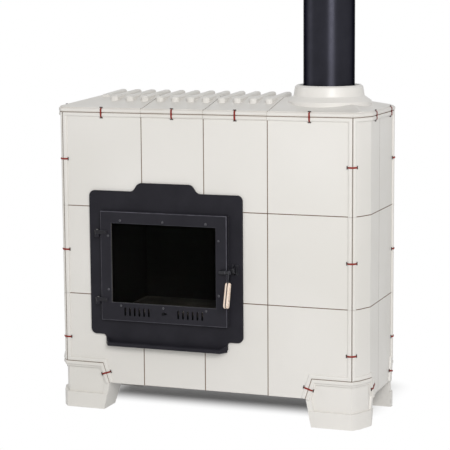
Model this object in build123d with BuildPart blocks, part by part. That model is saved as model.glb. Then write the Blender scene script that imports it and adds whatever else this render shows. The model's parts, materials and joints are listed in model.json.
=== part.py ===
from build123d import *
import math
import os

# Free-standing tiled stove: a shell of large glazed tiles, tied with wire clips, round a
# cast-iron insert with one glazed door. Millimetres, +Z up, front towards -Y, X = 0 in the
# middle of the front.

# ---- tiled body -------------------------------------------------------------------------
front_width = 1100.0          # between the two front corner seams
outer_column = 310.0          # first and last column of tiles
body_depth = 435.0            # front tile face to back tile face
side_bulge = 44.0             # side walls stand this far outside the corner seams
facet_depth = 81.0            # the front corner facet ends at this depth
knee_out = 20.0               # bend inside the front corner facet
knee_depth = 24.0
rear_corner = 48.0            # the rear corner tile wraps this far round the side
rear_knee_in = 20.0
rear_knee_depth = 15.0
tile_thickness = 30.0
bottom_edge = 102.0           # lower edge of the bottom row
row_heights = (330.0, 328.0, 344.0)
joint_gap = 0.8
bead_height = 6.0             # raised roll along the clipped seams
bead_width = 15.0
bead_round = 4.5

# ---- top plates -------------------------------------------------------------------------
rim_height = 18.0
rim_inset = 14.0
ridge_inset = 185.0           # the roof levels out this far in from front and back
hip_inset = 130.0             # and this far in from the ends
ridge_rise = 53.0             # ridge above the top seam
roof_thickness = 26.0
roof_wall = 34.0              # solid rim that stands on the wall tiles
ribs_per_column = 4
rib_width = 28.0
rib_front = 98.0              # rib ends from the front and back faces
rib_setback = 52.0            # the first rib starts this much further back
rib_front_rise = 54.5         # rib top above the top seam, at the front and the rear
rib_rear_rise = 65.0
rib_edge = 5.0                # bevel round the top of a rib
rib_root_rise = 29.0

# ---- collar and flue --------------------------------------------------------------------
flue_radius = 92.0            # a 180 mm pipe, measured inside
flue_wall = 2.0
flue_length = 500.0
flue_inset = 150.0            # flue axis to the front right corner seam
collar_radius = 121.0
collar_neck_radius = 127.0
collar_flare_radius = 152.0
collar_rise = 100.0           # collar rim above the top seam
collar_neck_rise = 62.0
collar_flare_rise = 44.0
collar_lip = 6.0              # bevel of the collar's rim
collar_clearance = 10.0       # round the flue pipe, closed by a ring
ring_clearance = 0.3
ring_height = 8.0
ring_drop = 5.0

# ---- feet -------------------------------------------------------------------------------
foot_height = 176.0
foot_top_width = 146.0
foot_seam_width = 170.0
foot_floor_width = 148.0
foot_side_top = 92.0          # how far the front feet reach back along the side
foot_side_seam = 130.0
foot_side_floor = 95.0
rear_foot_top = 15.0          # reach of the rear feet forward of the rear seam
rear_foot_seam = 32.0
rear_foot_floor = 20.0
foot_band_height = 58.0       # plain lower band, proud of the panel above it
foot_band_proud = 4.0
foot_border = 21.0            # plain edge beside the sunk panel
foot_recess = 7.0             # depth of the panel
foot_wall = 24.0              # round the hollow under the foot

# ---- insert -----------------------------------------------------------------------------
insert_offset = 401.0         # centre of the insert from the left corner seam
plate_thickness = 8.0
plate_half_width = 297.0
plate_low = 287.0
plate_high = 820.0
plate_corner = 20.0
crest_high = 852.0
crest_half_top = 104.0
crest_half_foot = 124.0
crest_sweep = 25.0            # radius of both bends of its S-shaped ends
tab_half_width = 238.0
tab_corner = 12.0
tab_low = 250.0
lip_reach = 30.0
lip_front_half_width = 219.0  # the cheeks of the lip slant inwards to its front
lip_wall = 5.0
lip_floor_height = 5.0
lip_rim_height = 12.0
lip_cheek_height = 28.0       # where the cheeks meet the plate

mouth_half_width = 218.5
mouth_low = 372.0
mouth_high = 724.0
throat_half_width = 253.5
throat_low = 335.0
throat_high = 785.0
throat_wall = 5.0
throat_clearance = 6.0
shell_front = 42.0
shell_behind = 65.0           # between the firebox and the outside of the back tiles
shell_high = 860.0
shell_wall = 5.0
brick = 30.0
brick_gap = 0.4
baffle_thickness = 20.0
baffle_low = 745.0
baffle_front = 120.0
smoke_low = 775.0
smoke_high = 848.0
smoke_inset = 50.0            # smoke way inside the front and back of the firebox

chamber_wall = 4.0
chamber_beside = 70.0         # between the smoke chamber and the side tiles
chamber_front = 60.0
chamber_behind = 60.0
chamber_low = 600.0
chamber_high = 1015.0
socket_wall = 3.5
socket_height = 45.0
socket_ledge = 4.0
flue_clearance = 0.3

base_thickness = 6.0
base_clearance = 0.6
leg_size = 36.0
leg_inset_x = 55.0
leg_inset_y = 60.0

# ---- door -------------------------------------------------------------------------------
door_gap = 3.0
door_depth = 19.0
door_half_width = 245.0
door_low = 345.0
door_high = 748.0
door_skin = 6.0
door_rim = 8.0
door_edge = 2.0
glass_half_width = 203.5
glass_low = 412.5
glass_high = 705.0
glass_thickness = 4.0
glass_overlap = 4.5
gasket = 2.0
retainer_width = 18.0
retainer_thickness = 3.0
seal_width = 7.0
running_gap = 0.3

screw_offset = 11.0           # screws stand this far outside the glass opening
screw_spread = 166.0
screw_side_rise = 99.0        # side screws above and below the middle of the glass
screw_radius = 2.5
screw_clearance = 0.1
screw_head = 4.0
screw_head_height = 2.0
screw_nut = 4.5
screw_nut_height = 2.5
screw_sides = 8
nut_sides = 6

slot_count = 6
slot_pitch = 18.6
slot_width = 7.2
slot_height = 30.5
slot_end = 2.2                # bevel of the slot's corners
slot_z = 380.5
slot_group_offset = 104.0     # centre of each group from the door's centre
slide_thickness = 2.0
slide_margin = 8.0
slide_height = 35.0
knob_radius = 5.5
knob_height = 4.0
knob_stem = 3.0
guide_width = 24.0
guide_offset = 36.0
guide_thickness = 2.5
guide_lip = 4.0

# ---- hinges -----------------------------------------------------------------------------
hinge_out = 14.0              # pin axis outside the door's left edge
hinge_heights = (414.5, 663.5)
knuckle_radius = 10.0
hinge_pin_radius = 3.0
hinge_clearance = 0.05
strap_height = 13.0
strap_thickness = 5.0
strap_reach = 41.0
strap_bolt_inset = 6.5
lug_height = 12.0
lug_thickness = 10.0
pin_head = 4.5
pin_head_height = 2.5

# ---- latch ------------------------------------------------------------------------------
latch_z = 547.5
latch_standoff = 10.0         # spindle axis in front of the door
barrel_radius = 8.5
barrel_length = 22.0
barrel_inset = 0.5
spindle_radius = 4.0
lever_thickness = 4.0
lever_offset = 12.0           # lever plate outside the door's right edge
lever_hub = 11.0
boss_radius = 7.0             # on the lever, against the barrel
nut_radius = 7.0
nut_height = 4.0
nose_gap = 1.5                # tip of the nose to the foot of the keeper
nose_top = 2.0
nose_height = 10.0
neck_drop = 42.5
neck_forward = 15.0
neck_radius = 6.0
grip_length = 71.5
grip_angle = 16.0
grip_top_radius = 9.0
grip_bottom_radius = 11.0
grip_thickness = 7.0
grip_edge = 2.5
grip_margin = 1.5             # steel tongue inside the outline of the scales
rivet_radius = 2.5
rivet_inset = 16.0
keeper_gap = 1.5
keeper_thickness = 9.0
keeper_base = 22.0
keeper_base_height = 36.0
keeper_base_thickness = 4.0
keeper_reach = 27.0
keeper_pin_radius = 4.0
keeper_pin_depth = 22.0       # pin axis in front of the tile face
bolt_radius = 3.5
bolt_height = 2.0

# ---- wire clips -------------------------------------------------------------------------
wire_width = 2.6
wire_thickness = 1.6
wire_lift = 0.3
clip_reach = 17.2
clip_shoulder = 13.2
clip_crown = 2.0
clip_drop = 5.3
clip_side_inset = 50.0        # side clips stand this far inside the seams of the side wall
clip_pin_radius = 1.8
clip_pin_length = 12.0
clip_pin_sides = 6

# ---- places that follow from the sizes --------------------------------------------------
half_width = front_width / 2
half_joint = joint_gap / 2
bead_root = joint_gap         # part of a roll inside its tile
inner_column = (front_width - 2 * outer_column) / 2
inner_seam = half_width - outer_column
seams_x = (-half_width, -inner_seam, inner_column - inner_seam, inner_seam, half_width)
row_z = [bottom_edge + sum(row_heights[:i]) for i in range(len(row_heights) + 1)]
top_seam = row_z[-1]

grip_lean = math.radians(grip_angle)
grip_drop = grip_length * math.cos(grip_lean)
grip_forward = grip_length * math.sin(grip_lean)
latch_forward = plate_thickness + door_gap + door_depth + latch_standoff
front_reach = latch_forward + neck_forward + grip_forward + grip_bottom_radius
back_reach = body_depth + bead_height + wire_lift + wire_thickness
front_y = (front_reach - back_reach) / 2
back_y = front_y + body_depth
rear_seam_y = back_y - rear_corner
side_joint_y = (front_y + rear_seam_y) / 2
side_x = half_width + side_bulge

insert_x = insert_offset - half_width
plate_y = front_y - plate_thickness
door_back_y = plate_y - door_gap
door_y = door_back_y - door_depth
skin_back_y = door_y + door_skin
glass_y = skin_back_y + gasket
glass_back_y = glass_y + glass_thickness
door_z = (door_low + door_high) / 2
glass_z = (glass_low + glass_high) / 2
door_left = insert_x - door_half_width
door_right = insert_x + door_half_width
hinge_x = door_left - hinge_out
hinge_y = door_y - strap_thickness + knuckle_radius
latch_y = door_y - latch_standoff
lever_x = door_right + lever_offset
slide_travel = slot_pitch / 2
flue_x = half_width - flue_inset
flue_y = (front_y + back_y) / 2
collar_bore = flue_radius + collar_clearance


os.makedirs("parts", exist_ok=True)


def save(builder, node):
    """Label a finished piece and write its STEP file."""
    builder.part.label = node
    export_step(builder.part, f"parts/{node}.step")


# ---- plan of the body -------------------------------------------------------------------
# Anticlockwise from above, so the outside is always on the right of the line.
right_front = [
    (half_width, front_y),
    (half_width + knee_out, front_y + knee_depth),
    (side_x, front_y + facet_depth),
]
right_rear = [
    (side_x, rear_seam_y),
    (side_x - rear_knee_in, back_y - rear_knee_depth),
    (half_width, back_y),
]
left_rear = [(-x, y) for x, y in reversed(right_rear)]
left_front = [(-x, y) for x, y in reversed(right_front)]
outline = right_front + right_rear + left_rear + left_front


def mitred(before, here, after, inwards):
    """A corner of a plan line moved inwards by a wall."""
    first = (Vector(*here) - Vector(*before)).normalized()
    second = (Vector(*after) - Vector(*here)).normalized()
    normals = Vector(-first.Y - second.Y, first.X + second.X)
    corner = Vector(*here) + normals * (inwards / (1 + first.dot(second)))
    return (corner.X, corner.Y)


def shifted(points, inwards):
    """A closed plan line moved inwards."""
    following = points[1:] + points[:1]
    preceding = points[-1:] + points[:-1]
    return [mitred(*corner, inwards) for corner in zip(preceding, points, following)]


def shifted_run(points, inwards):
    """An open plan line moved inwards, less its first and last points."""
    return [mitred(*corner, inwards) for corner in zip(points, points[1:], points[2:])]


def wall_plan(line, before, after, proud=0.0, depth=tile_thickness):
    """Plan outline of a tile whose ends are mitred to its neighbours, half a joint short."""
    run = [before] + line + [after]
    outer = trimmed(shifted_run(run, -proud))
    inner = trimmed(shifted_run(run, depth))
    return outer + inner[::-1]


def level_prism(points, low, high):
    """Upright prism on a plan outline."""
    with BuildPart() as prism:
        with BuildSketch(Plane.XY.offset(low)):
            with BuildLine():
                Polyline(*points, close=True)
            make_face()
        extrude(amount=high - low)
    return prism.part


def front_prism(points, near, far, clearance=0.0):
    """Prism on an outline of (x, z) points, between two values of Y."""
    with BuildPart() as prism:
        with BuildSketch(Plane.XZ.offset(-far)):
            with BuildLine():
                Polyline(*points, close=True)
            make_face()
            if clearance:
                offset(amount=clearance, kind=Kind.INTERSECTION)
        extrude(amount=far - near)
    return prism.part


def side_prism(points, left, right, clearance=0.0):
    """Prism on an outline of (y, z) points, between two values of X."""
    with BuildPart() as prism:
        with BuildSketch(Plane.YZ.offset(left)):
            with BuildLine():
                Polyline(*points, close=True)
            make_face()
            if clearance:
                offset(amount=clearance, kind=Kind.INTERSECTION)
        extrude(amount=right - left)
    return prism.part


def block(x_low, x_high, y_low, y_high, z_low, z_high):
    """Rectangular block between six faces."""
    return level_prism([(x_low, y_low), (x_high, y_low), (x_high, y_high), (x_low, y_high)],
                       z_low, z_high)


# Section of a roll, from the joint across the tile; each corner is rounded in two facets.
facet = bead_round * (1 - math.sqrt(0.5))
bead_rise = [(-bead_root, 0.0), (bead_height - bead_round, 0.0), (bead_height - facet, facet),
             (bead_height, bead_round)]
bead_section = bead_rise + [(out, bead_width - across) for out, across in reversed(bead_rise)]


def bead(path, outwards):
    """Raised roll along a seam. The path runs clockwise round its tile, seen from outside."""
    with BuildPart() as roll:
        with BuildLine():
            Polyline(*path)
        along = Vector(*path[1]) - Vector(*path[0])
        with BuildSketch(Plane(origin=path[0], x_dir=outwards, z_dir=along)):
            with BuildLine():
                Polyline(*bead_section, close=True)
            make_face()
        sweep(transition=Transition.RIGHT)
    return roll.part


def level_path(points, z):
    """Path at one height over plan points."""
    return [(x, y, z) for x, y in points]


def outwards_of(start, end):
    """Outward direction of a plan segment."""
    along = (Vector(*end) - Vector(*start)).normalized()
    return (along.Y, -along.X, 0)


def trimmed(line):
    """Plan line with half a joint taken off each end."""
    points = [Vector(*point) for point in line]
    first = points[0] + (points[1] - points[0]).normalized() * half_joint
    last = points[-1] - (points[-1] - points[-2]).normalized() * half_joint
    return [(first.X, first.Y)] + line[1:-1] + [(last.X, last.Y)]


def rod(start, direction, length, radius):
    """Round bar from a point along a direction."""
    with BuildPart() as bar:
        with BuildSketch(Plane(origin=start, z_dir=direction)):
            Circle(radius)
        extrude(amount=length)
    return bar.part


def ring(x, y, low, high, inner, outer):
    """Upright tube about a vertical axis."""
    with BuildPart() as tube:
        with BuildSketch(Plane.XY.offset(low)):
            with Locations((x, y)):
                Circle(outer)
                Circle(inner, mode=Mode.SUBTRACT)
        extrude(amount=high - low)
    return tube.part


def frame_ring(x, z, width, height, band, near, far):
    """Rectangular ring round an opening in the front, the band lying outside the opening."""
    with BuildPart() as body:
        with BuildSketch(Plane.XZ.offset(-far)):
            with Locations((x, z)):
                Rectangle(width + 2 * band, height + 2 * band)
                Rectangle(width, height, mode=Mode.SUBTRACT)
        extrude(amount=far - near)
    return body.part


def box_shell(x_low, x_high, y_low, y_high, z_low, z_high, wall):
    """Closed sheet box with an even wall."""
    with BuildPart() as shell:
        add(block(x_low, x_high, y_low, y_high, z_low, z_high))
        add(block(x_low + wall, x_high - wall, y_low + wall, y_high - wall, z_low + wall,
                  z_high - wall), mode=Mode.SUBTRACT)
    return shell.part


def save_pair(piece, name):
    """Write a left piece and its mirror image on the right."""
    with BuildPart() as left:
        add(piece)
    save(left, name.format("left"))
    with BuildPart() as right:
        mirror(piece, about=Plane.YZ)
    save(right, name.format("right"))


# ---- feet -------------------------------------------------------------------------------
# Outlines of the left feet, from the top of the seam down to the floor.
foot_flat_edge = [
    (-half_width + foot_top_width, foot_height),
    (-half_width + foot_seam_width, bottom_edge),
    (-half_width + foot_floor_width, 0.0),
]
front_foot_flank = [
    (front_y + foot_side_top, foot_height),
    (front_y + foot_side_seam, bottom_edge),
    (front_y + foot_side_floor, 0.0),
]
rear_foot_flank = [
    (rear_seam_y - rear_foot_top, foot_height),
    (rear_seam_y - rear_foot_seam, bottom_edge),
    (rear_seam_y - rear_foot_floor, 0.0),
]


def on_flat(points, y):
    """Points of an outline on the flat face."""
    return [(x, y, z) for x, z in points]


def on_flank(points):
    """Points of an outline on the left side."""
    return [(-side_x, y, z) for y, z in points]


def beyond(points, far, border=0.0):
    """Outline of the room beyond the edge of a foot, or beyond a border inside that edge."""
    shift = math.copysign(border, points[0][0] - far)
    return [(place + shift, z) for place, z in points] + [(far, 0.0), (far, foot_height)]


def less_beyond(solid, flank, border=0.0):
    """A solid of a left foot, cut back to the two outlines of the foot or to their borders."""
    with BuildPart() as kept:
        add(solid)
        add(front_prism(beyond(foot_flat_edge, front_width, border), -front_width, front_width),
            mode=Mode.SUBTRACT)
        add(side_prism(beyond(flank, flue_y, border), -front_width, front_width),
            mode=Mode.SUBTRACT)
    return kept.part


def foot(line, flank, roll, hollow_near, hollow_far):
    """A left foot: a block hollow from below, a wall round the corner above it, and a roll."""
    corner, before, after = line[1:-1], line[0], line[-1]
    flat_end, flank_end = sorted((corner[0], corner[-1]), reverse=True)
    with BuildPart() as form:
        add(level_prism(wall_plan(corner, before, after), 0.0, roll_top))
        add(level_prism(wall_plan(corner, before, after, foot_band_proud), 0.0, foot_band_height))
        add(level_prism(corner + [(flat_end[0], flank_end[1])], 0.0, bottom_edge))
    panel = level_prism(wall_plan(corner, before, after, bead_width, foot_recess),
                        foot_band_height, roll_top - foot_border)
    with BuildPart() as body:
        add(less_beyond(form.part, flank))
        add(less_beyond(panel, flank, foot_border), mode=Mode.SUBTRACT)
        add(block(-half_width, -half_width + foot_floor_width - foot_wall, hollow_near, hollow_far,
                  0.0, bottom_edge - foot_wall), mode=Mode.SUBTRACT)
        add(bead(roll, outwards_of(roll[1][:2], roll[2][:2])))
    return body.part


front_foot_line = [
    (-side_x, flue_y),
    (-side_x, front_y + foot_side_seam + joint_gap),
    (-side_x, front_y + facet_depth),
    (-half_width - knee_out, front_y + knee_depth),
    (-half_width, front_y),
    (-half_width + foot_seam_width + joint_gap, front_y),
    (half_width, front_y),
]
rear_foot_line = [
    (half_width, back_y),
    (-half_width + foot_seam_width + joint_gap, back_y),
    (-half_width, back_y),
    (-side_x + rear_knee_in, back_y - rear_knee_depth),
    (-side_x, rear_seam_y),
    (-side_x, rear_seam_y - rear_foot_seam - joint_gap),
    (-side_x, flue_y),
]
roll_top = foot_height - half_joint
slant_rise = foot_height - bottom_edge


def below_joint(points):
    """The slanted part of an outline, its upper end lowered by half a joint."""
    (top, _), (low, z_low), _ = points
    return [(top + (low - top) * half_joint / slant_rise, roll_top), (low, z_low)]


front_flat = on_flat(below_joint(foot_flat_edge), front_y)
front_flank = on_flank(below_joint(front_foot_flank))
rear_flat = on_flat(below_joint(foot_flat_edge), back_y)
rear_flank = on_flank(below_joint(rear_foot_flank))
front_roll = front_flank[::-1] + level_path(front_foot_line[2:5], roll_top) + front_flat
rear_roll = rear_flat[::-1] + level_path(rear_foot_line[2:5], roll_top) + rear_flank
front_foot = foot(front_foot_line, front_foot_flank, front_roll, front_y + foot_wall,
                  front_y + foot_side_floor - foot_wall)
rear_foot = foot(rear_foot_line, rear_foot_flank, rear_roll,
                 rear_seam_y - rear_foot_floor + foot_wall, back_y - foot_wall)
save_pair(front_foot, "foot_front_{}")
save_pair(rear_foot, "foot_rear_{}")


# ---- wall tiles -------------------------------------------------------------------------
row_names = ("bottom", "middle", "top")
bottom_row = 0
top_row = len(row_heights) - 1
notch_top = foot_height + half_joint


def row_span(row):
    """Lower and upper edge of the tiles of a row."""
    low = row_z[row] + (half_joint if row else 0.0)
    return low, row_z[row + 1] - half_joint


def foot_space(flank, corner_y, seam_y):
    """Room that a left foot and its joint take out of the bottom tiles."""
    outside = -side_x - bead_width
    below = bottom_edge - bead_width
    (flat_top, high), (flat_low, low), _ = foot_flat_edge
    (flank_top, _), (flank_low, _), _ = flank
    flat = [(outside, high), (flat_top, high), (flat_low, low), (flat_low, below), (outside, below)]
    side = [(corner_y, high), (flank_top, high), (flank_low, low), (flank_low, below),
            (corner_y, below)]
    with BuildPart() as space:
        add(front_prism(flat, min(corner_y, seam_y), max(corner_y, seam_y), half_joint))
        add(side_prism(side, outside, -half_width, half_joint))
    return space.part


front_foot_space = foot_space(front_foot_flank, front_y - bead_width, front_y + facet_depth)
rear_foot_space = foot_space(rear_foot_flank, back_y + bead_width, rear_seam_y)


def above_joint(points, along):
    """The slanted part of an outline, raised and moved by half a joint."""
    (top, _), (low, z_low), _ = points
    return [(top + along * half_joint, notch_top), (low + along * half_joint, z_low)]


def tile(line, before, after, row, cut, path, outwards):
    """Wall tile over one row, less the room of a foot, with a roll along its clipped edges."""
    low, high = row_span(row)
    with BuildPart() as body:
        add(level_prism(wall_plan(line, before, after), low, high))
        if row == bottom_row and cut:
            add(cut, mode=Mode.SUBTRACT)
        if path:
            add(bead(path, outwards))
    return body.part


def seam_first(line, before, after, row, cut, foot_path):
    """Flat tile whose first edge is a clipped seam: the roll climbs it, then follows the top."""
    low, high = row_span(row)
    start, end = trimmed(line)
    path = [(*start, low), (*start, high)]
    if row == bottom_row:
        path = foot_path[::-1] + [(*start, notch_top), (*start, high)]
    if row == top_row:
        path.append((*end, high))
    return tile(line, before, after, row, cut, path, outwards_of(start, end))


def seam_last(line, before, after, row, cut, foot_path):
    """Tile round a corner that ends on a clipped seam: the roll comes along the top and down."""
    low, high = row_span(row)
    edge = trimmed(line)
    path = [(*edge[-1], high), (*edge[-1], low)]
    outwards = outwards_of(edge[-2], edge[-1])
    if row == top_row:
        path = level_path(edge, high) + [(*edge[-1], low)]
        outwards = outwards_of(edge[0], edge[1])
    if row == bottom_row:
        path = [(*edge[-1], high)] + level_path(edge[:0:-1], notch_top) + foot_path
    return tile(line, before, after, row, cut, path, outwards)


def plain_tile(line, row):
    """Flat tile between two plain joints; the top row has a roll along its upper edge."""
    (x0, y), (x1, _) = line
    before = (2 * x0 - x1, y)
    after = (2 * x1 - x0, y)
    path = level_path(trimmed(line), row_span(row)[1]) if row == top_row else None
    return tile(line, before, after, row, None, path, outwards_of(line[0], line[1]))


opening_left = insert_x - throat_half_width - throat_clearance
opening_right = insert_x + throat_half_width + throat_clearance
opening_low = throat_low - throat_clearance
opening_high = throat_high + throat_clearance
insert_opening = block(opening_left, opening_right, front_y - tile_thickness,
                       front_y + 2 * tile_thickness, opening_low, opening_high)
last_column = len(seams_x) - 2


def swallowed(column, row):
    """True where the insert takes the whole of a front tile."""
    inside = opening_left <= seams_x[column] and seams_x[column + 1] <= opening_right
    return inside and opening_low <= row_z[row] and row_z[row + 1] <= opening_high


for row, row_name in enumerate(row_names):
    corner_tile = seam_first([(seams_x[0], front_y), (seams_x[1], front_y)], left_front[1],
                             (half_width, front_y), row, front_foot_space,
                             on_flat(above_joint(foot_flat_edge, 1), front_y))
    for column in range(last_column + 1):
        if swallowed(column, row):
            continue
        with BuildPart() as front_tile:
            if column == 0:
                add(corner_tile)
            elif column == last_column:
                mirror(corner_tile, about=Plane.YZ)
            else:
                add(plain_tile([(seams_x[column], front_y), (seams_x[column + 1], front_y)], row))
            add(insert_opening, mode=Mode.SUBTRACT)
        save(front_tile, f"front_tile_{row_name}_{column + 1}")

    corner_tile = seam_last([(seams_x[1], back_y)] + left_rear, (half_width, back_y),
                            (-side_x, front_y), row, rear_foot_space,
                            on_flat(above_joint(foot_flat_edge, 1), back_y))
    with BuildPart() as back_tiles:
        add(corner_tile)
        mirror(corner_tile, about=Plane.YZ)
        for column in range(1, last_column):
            add(plain_tile([(seams_x[column + 1], back_y), (seams_x[column], back_y)], row))
    save(back_tiles, f"back_tiles_{row_name}")

    front_part = seam_last([(-side_x, side_joint_y)] + left_front, (-side_x, rear_seam_y),
                           (half_width, front_y), row, front_foot_space,
                           on_flank(above_joint(front_foot_flank, 1)))
    save_pair(front_part, f"side_tile_{{}}_front_{row_name}")
    rear_part = seam_first([(-side_x, rear_seam_y), (-side_x, side_joint_y)], left_rear[1],
                           (-side_x, front_y), row, rear_foot_space,
                           on_flank(above_joint(rear_foot_flank, -1)))
    save_pair(rear_part, f"side_tile_{{}}_rear_{row_name}")


# ---- top plates -------------------------------------------------------------------------
roof_low = top_seam + half_joint
rim_top = top_seam + rim_height
ridge_z = top_seam + ridge_rise
roof_bead_top = roof_low + bead_width
rib_pitch = inner_column / ribs_per_column


def roof_form(plan, drop):
    """Hipped roof over a plan, lowered by a drop."""
    low, rim, ridge = roof_low - drop, rim_top - drop, ridge_z - drop

    def profile(near, far, inset):
        """Outline of the roof across the body, from one wall to the other."""
        return [(near, low), (near, rim), (near + rim_inset, rim), (near + inset, ridge),
                (far - inset, ridge), (far - rim_inset, rim), (far, rim), (far, low)]

    with BuildPart() as form:
        add(level_prism(plan, low, ridge))
        add(side_prism(profile(front_y, back_y, ridge_inset), -side_x, side_x),
            mode=Mode.INTERSECT)
        add(front_prism(profile(-side_x, side_x, hip_inset), front_y, back_y),
            mode=Mode.INTERSECT)
    return form.part


def roof_part(x_low, x_high):
    """Part of the hollow roof between two joints."""
    with BuildPart() as part:
        add(roof_form(outline, 0.0))
        add(roof_form(shifted(outline, roof_wall), roof_thickness), mode=Mode.SUBTRACT)
        add(block(x_low, x_high, front_y, back_y, roof_low, ridge_z), mode=Mode.INTERSECT)
    return part.part


def rib(x, front):
    """Rib with three-sided ends, its bevelled top rising towards the back."""
    back = back_y - rib_front
    root = top_seam + rib_root_rise
    crest = top_seam + rib_rear_rise
    half, corner = rib_width / 2, rib_width * (1 - math.sqrt(0.5))
    right = [(x + half - corner, front), (x + half, front + corner), (x + half, back - corner),
             (x + half - corner, back)]
    left = [(2 * x - across, y) for across, y in reversed(right)]
    cut = [(front, top_seam + rib_front_rise), (back, crest), (front, crest)]
    with BuildPart() as body:
        add(level_prism(right + left, root, crest))
        add(side_prism(cut, x - rib_width, x + rib_width), mode=Mode.SUBTRACT)
        chamfer(body.faces().sort_by(Axis.Z)[-1].edges(), length=rib_edge)
    return body.part


for column in range(last_column + 1):
    x_low = seams_x[column] + half_joint
    x_high = seams_x[column + 1] - half_joint
    end_path = ([(seams_x[1] - half_joint, back_y)] + left_rear + left_front
                + [(seams_x[1] - half_joint, front_y)])
    with BuildPart() as top_plate:
        if column in (0, last_column):
            end_part = roof_part(-side_x, seams_x[1] - half_joint)
            end_roll = bead(level_path(end_path, roof_bead_top), (0, 1, 0))
            if column == 0:
                add([end_part, end_roll])
            else:
                mirror([end_part, end_roll], about=Plane.YZ)
        else:
            add(roof_part(x_low, x_high))
            add(bead(level_path([(x_low, front_y), (x_high, front_y)], roof_bead_top), (0, -1, 0)))
            add(bead(level_path([(x_high, back_y), (x_low, back_y)], roof_bead_top), (0, 1, 0)))
        if column < last_column:
            for place in range(ribs_per_column):
                first = column == 0 and place == 0
                offset_from_seam = (ribs_per_column - place - 0.5) * rib_pitch
                add(rib(seams_x[column + 1] - offset_from_seam,
                        front_y + rib_front + (rib_setback if first else 0.0)))
        else:
            with BuildSketch(Plane(origin=(flue_x, flue_y, 0), x_dir=(1, 0, 0), z_dir=(0, -1, 0))):
                with BuildLine():
                    Polyline((collar_bore, rim_top),
                             (collar_flare_radius, rim_top),
                             (collar_flare_radius, top_seam + collar_flare_rise),
                             (collar_neck_radius, top_seam + collar_neck_rise),
                             (collar_radius, top_seam + collar_rise),
                             (collar_bore, top_seam + collar_rise), close=True)
                make_face()
                chamfer(vertices().sort_by(Axis.Y)[-2:], length=collar_lip)
            revolve(axis=Axis((flue_x, flue_y, 0), (0, 0, 1)))
            add(rod((flue_x, flue_y, roof_low), (0, 0, 1), collar_rise, collar_bore),
                mode=Mode.SUBTRACT)
    save(top_plate, f"top_plate_{column + 1}")


# ---- inside the body --------------------------------------------------------------------
base_top = bottom_edge + base_thickness
with BuildPart() as base_plate:
    add(level_prism(shifted(outline, tile_thickness + base_clearance), bottom_edge, base_top))
save(base_plate, "base_plate")

shell_left = insert_x - throat_half_width
shell_right = insert_x + throat_half_width
shell_y = front_y + shell_front
shell_back_y = back_y - shell_behind
chamber_right = side_x - tile_thickness - chamber_beside
chamber_y = front_y + chamber_front
chamber_back_y = back_y - chamber_behind
flue_foot = chamber_high
throat_left = shell_left + throat_wall
throat_right = shell_right - throat_wall
throat_floor = throat_low + throat_wall
throat_roof = throat_high - throat_wall
smoke_way = block(shell_right - 2 * shell_wall, shell_right + 2 * shell_wall,
                  shell_y + smoke_inset, shell_back_y - smoke_inset, smoke_low, smoke_high)

with BuildPart() as stand_legs:
    for low_x, high_x, near_y, far_y, top in (
            (shell_left, shell_right, shell_y, shell_back_y, throat_low),
            (shell_right, chamber_right, chamber_y, chamber_back_y, chamber_low)):
        for x in (low_x + leg_inset_x, high_x - leg_inset_x):
            for y in (near_y + leg_inset_y, far_y - leg_inset_y):
                add(block(x - leg_size / 2, x + leg_size / 2, y - leg_size / 2, y + leg_size / 2,
                          base_top, top))
save(stand_legs, "stand_legs")

with BuildPart() as firebox_shell:
    add(box_shell(shell_left, shell_right, shell_y, shell_back_y, throat_low, shell_high,
                  shell_wall))
    add(block(throat_left, throat_right, shell_y, shell_y + shell_wall, throat_floor,
              throat_roof), mode=Mode.SUBTRACT)
    add(smoke_way, mode=Mode.SUBTRACT)
save(firebox_shell, "firebox_shell")

brick_front = front_y + brick_gap
brick_back = shell_back_y - shell_wall - brick_gap
brick_left = throat_left + brick_gap
brick_right = throat_right - brick_gap
floor_top = throat_floor + brick
with BuildPart() as firebrick_floor:
    add(block(brick_left, brick_right, brick_front, brick_back, throat_floor, floor_top))
save(firebrick_floor, "firebrick_floor")

with BuildPart() as firebrick_walls:
    for side_left, side_right in ((brick_left, brick_left + brick),
                                  (brick_right - brick, brick_right)):
        add(block(side_left, side_right, brick_front, brick_back, floor_top, baffle_low))
    add(block(brick_left + brick + brick_gap, brick_right - brick - brick_gap,
              brick_back - brick, brick_back, floor_top, baffle_low))
save(firebrick_walls, "firebrick_walls")

with BuildPart() as baffle_plate:
    add(block(brick_left, brick_right, front_y + baffle_front, brick_back, baffle_low,
              baffle_low + baffle_thickness))
save(baffle_plate, "baffle_plate")

socket_bore = flue_radius + flue_clearance
with BuildPart() as smoke_chamber:
    add(box_shell(shell_right, chamber_right, chamber_y, chamber_back_y, chamber_low,
                  chamber_high, chamber_wall))
    add(smoke_way, mode=Mode.SUBTRACT)
    add(rod((flue_x, flue_y, chamber_high - 2 * chamber_wall), (0, 0, 1), 2 * chamber_wall,
            flue_radius - socket_ledge), mode=Mode.SUBTRACT)
    add(ring(flue_x, flue_y, chamber_high - chamber_wall, chamber_high + socket_height,
             socket_bore, socket_bore + socket_wall))
save(smoke_chamber, "smoke_chamber")

with BuildPart() as flue_pipe:
    add(ring(flue_x, flue_y, flue_foot, flue_foot + flue_length, flue_radius - flue_wall,
             flue_radius))
save(flue_pipe, "flue_pipe")

ring_top = top_seam + collar_rise - ring_drop
with BuildPart() as pipe_ring:
    add(ring(flue_x, flue_y, ring_top - ring_height, ring_top, flue_radius + ring_clearance,
             collar_bore - ring_clearance))
save(pipe_ring, "pipe_ring")


# ---- front plate ------------------------------------------------------------------------
def nearest(points):
    """Vertices of the sketch being drawn that lie on given points."""
    return [vertices().sort_by_distance(point)[0] for point in points]


def both_sides(half, z):
    """The two points of the insert at one height."""
    return [(insert_x - half, z), (insert_x + half, z)]


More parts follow.
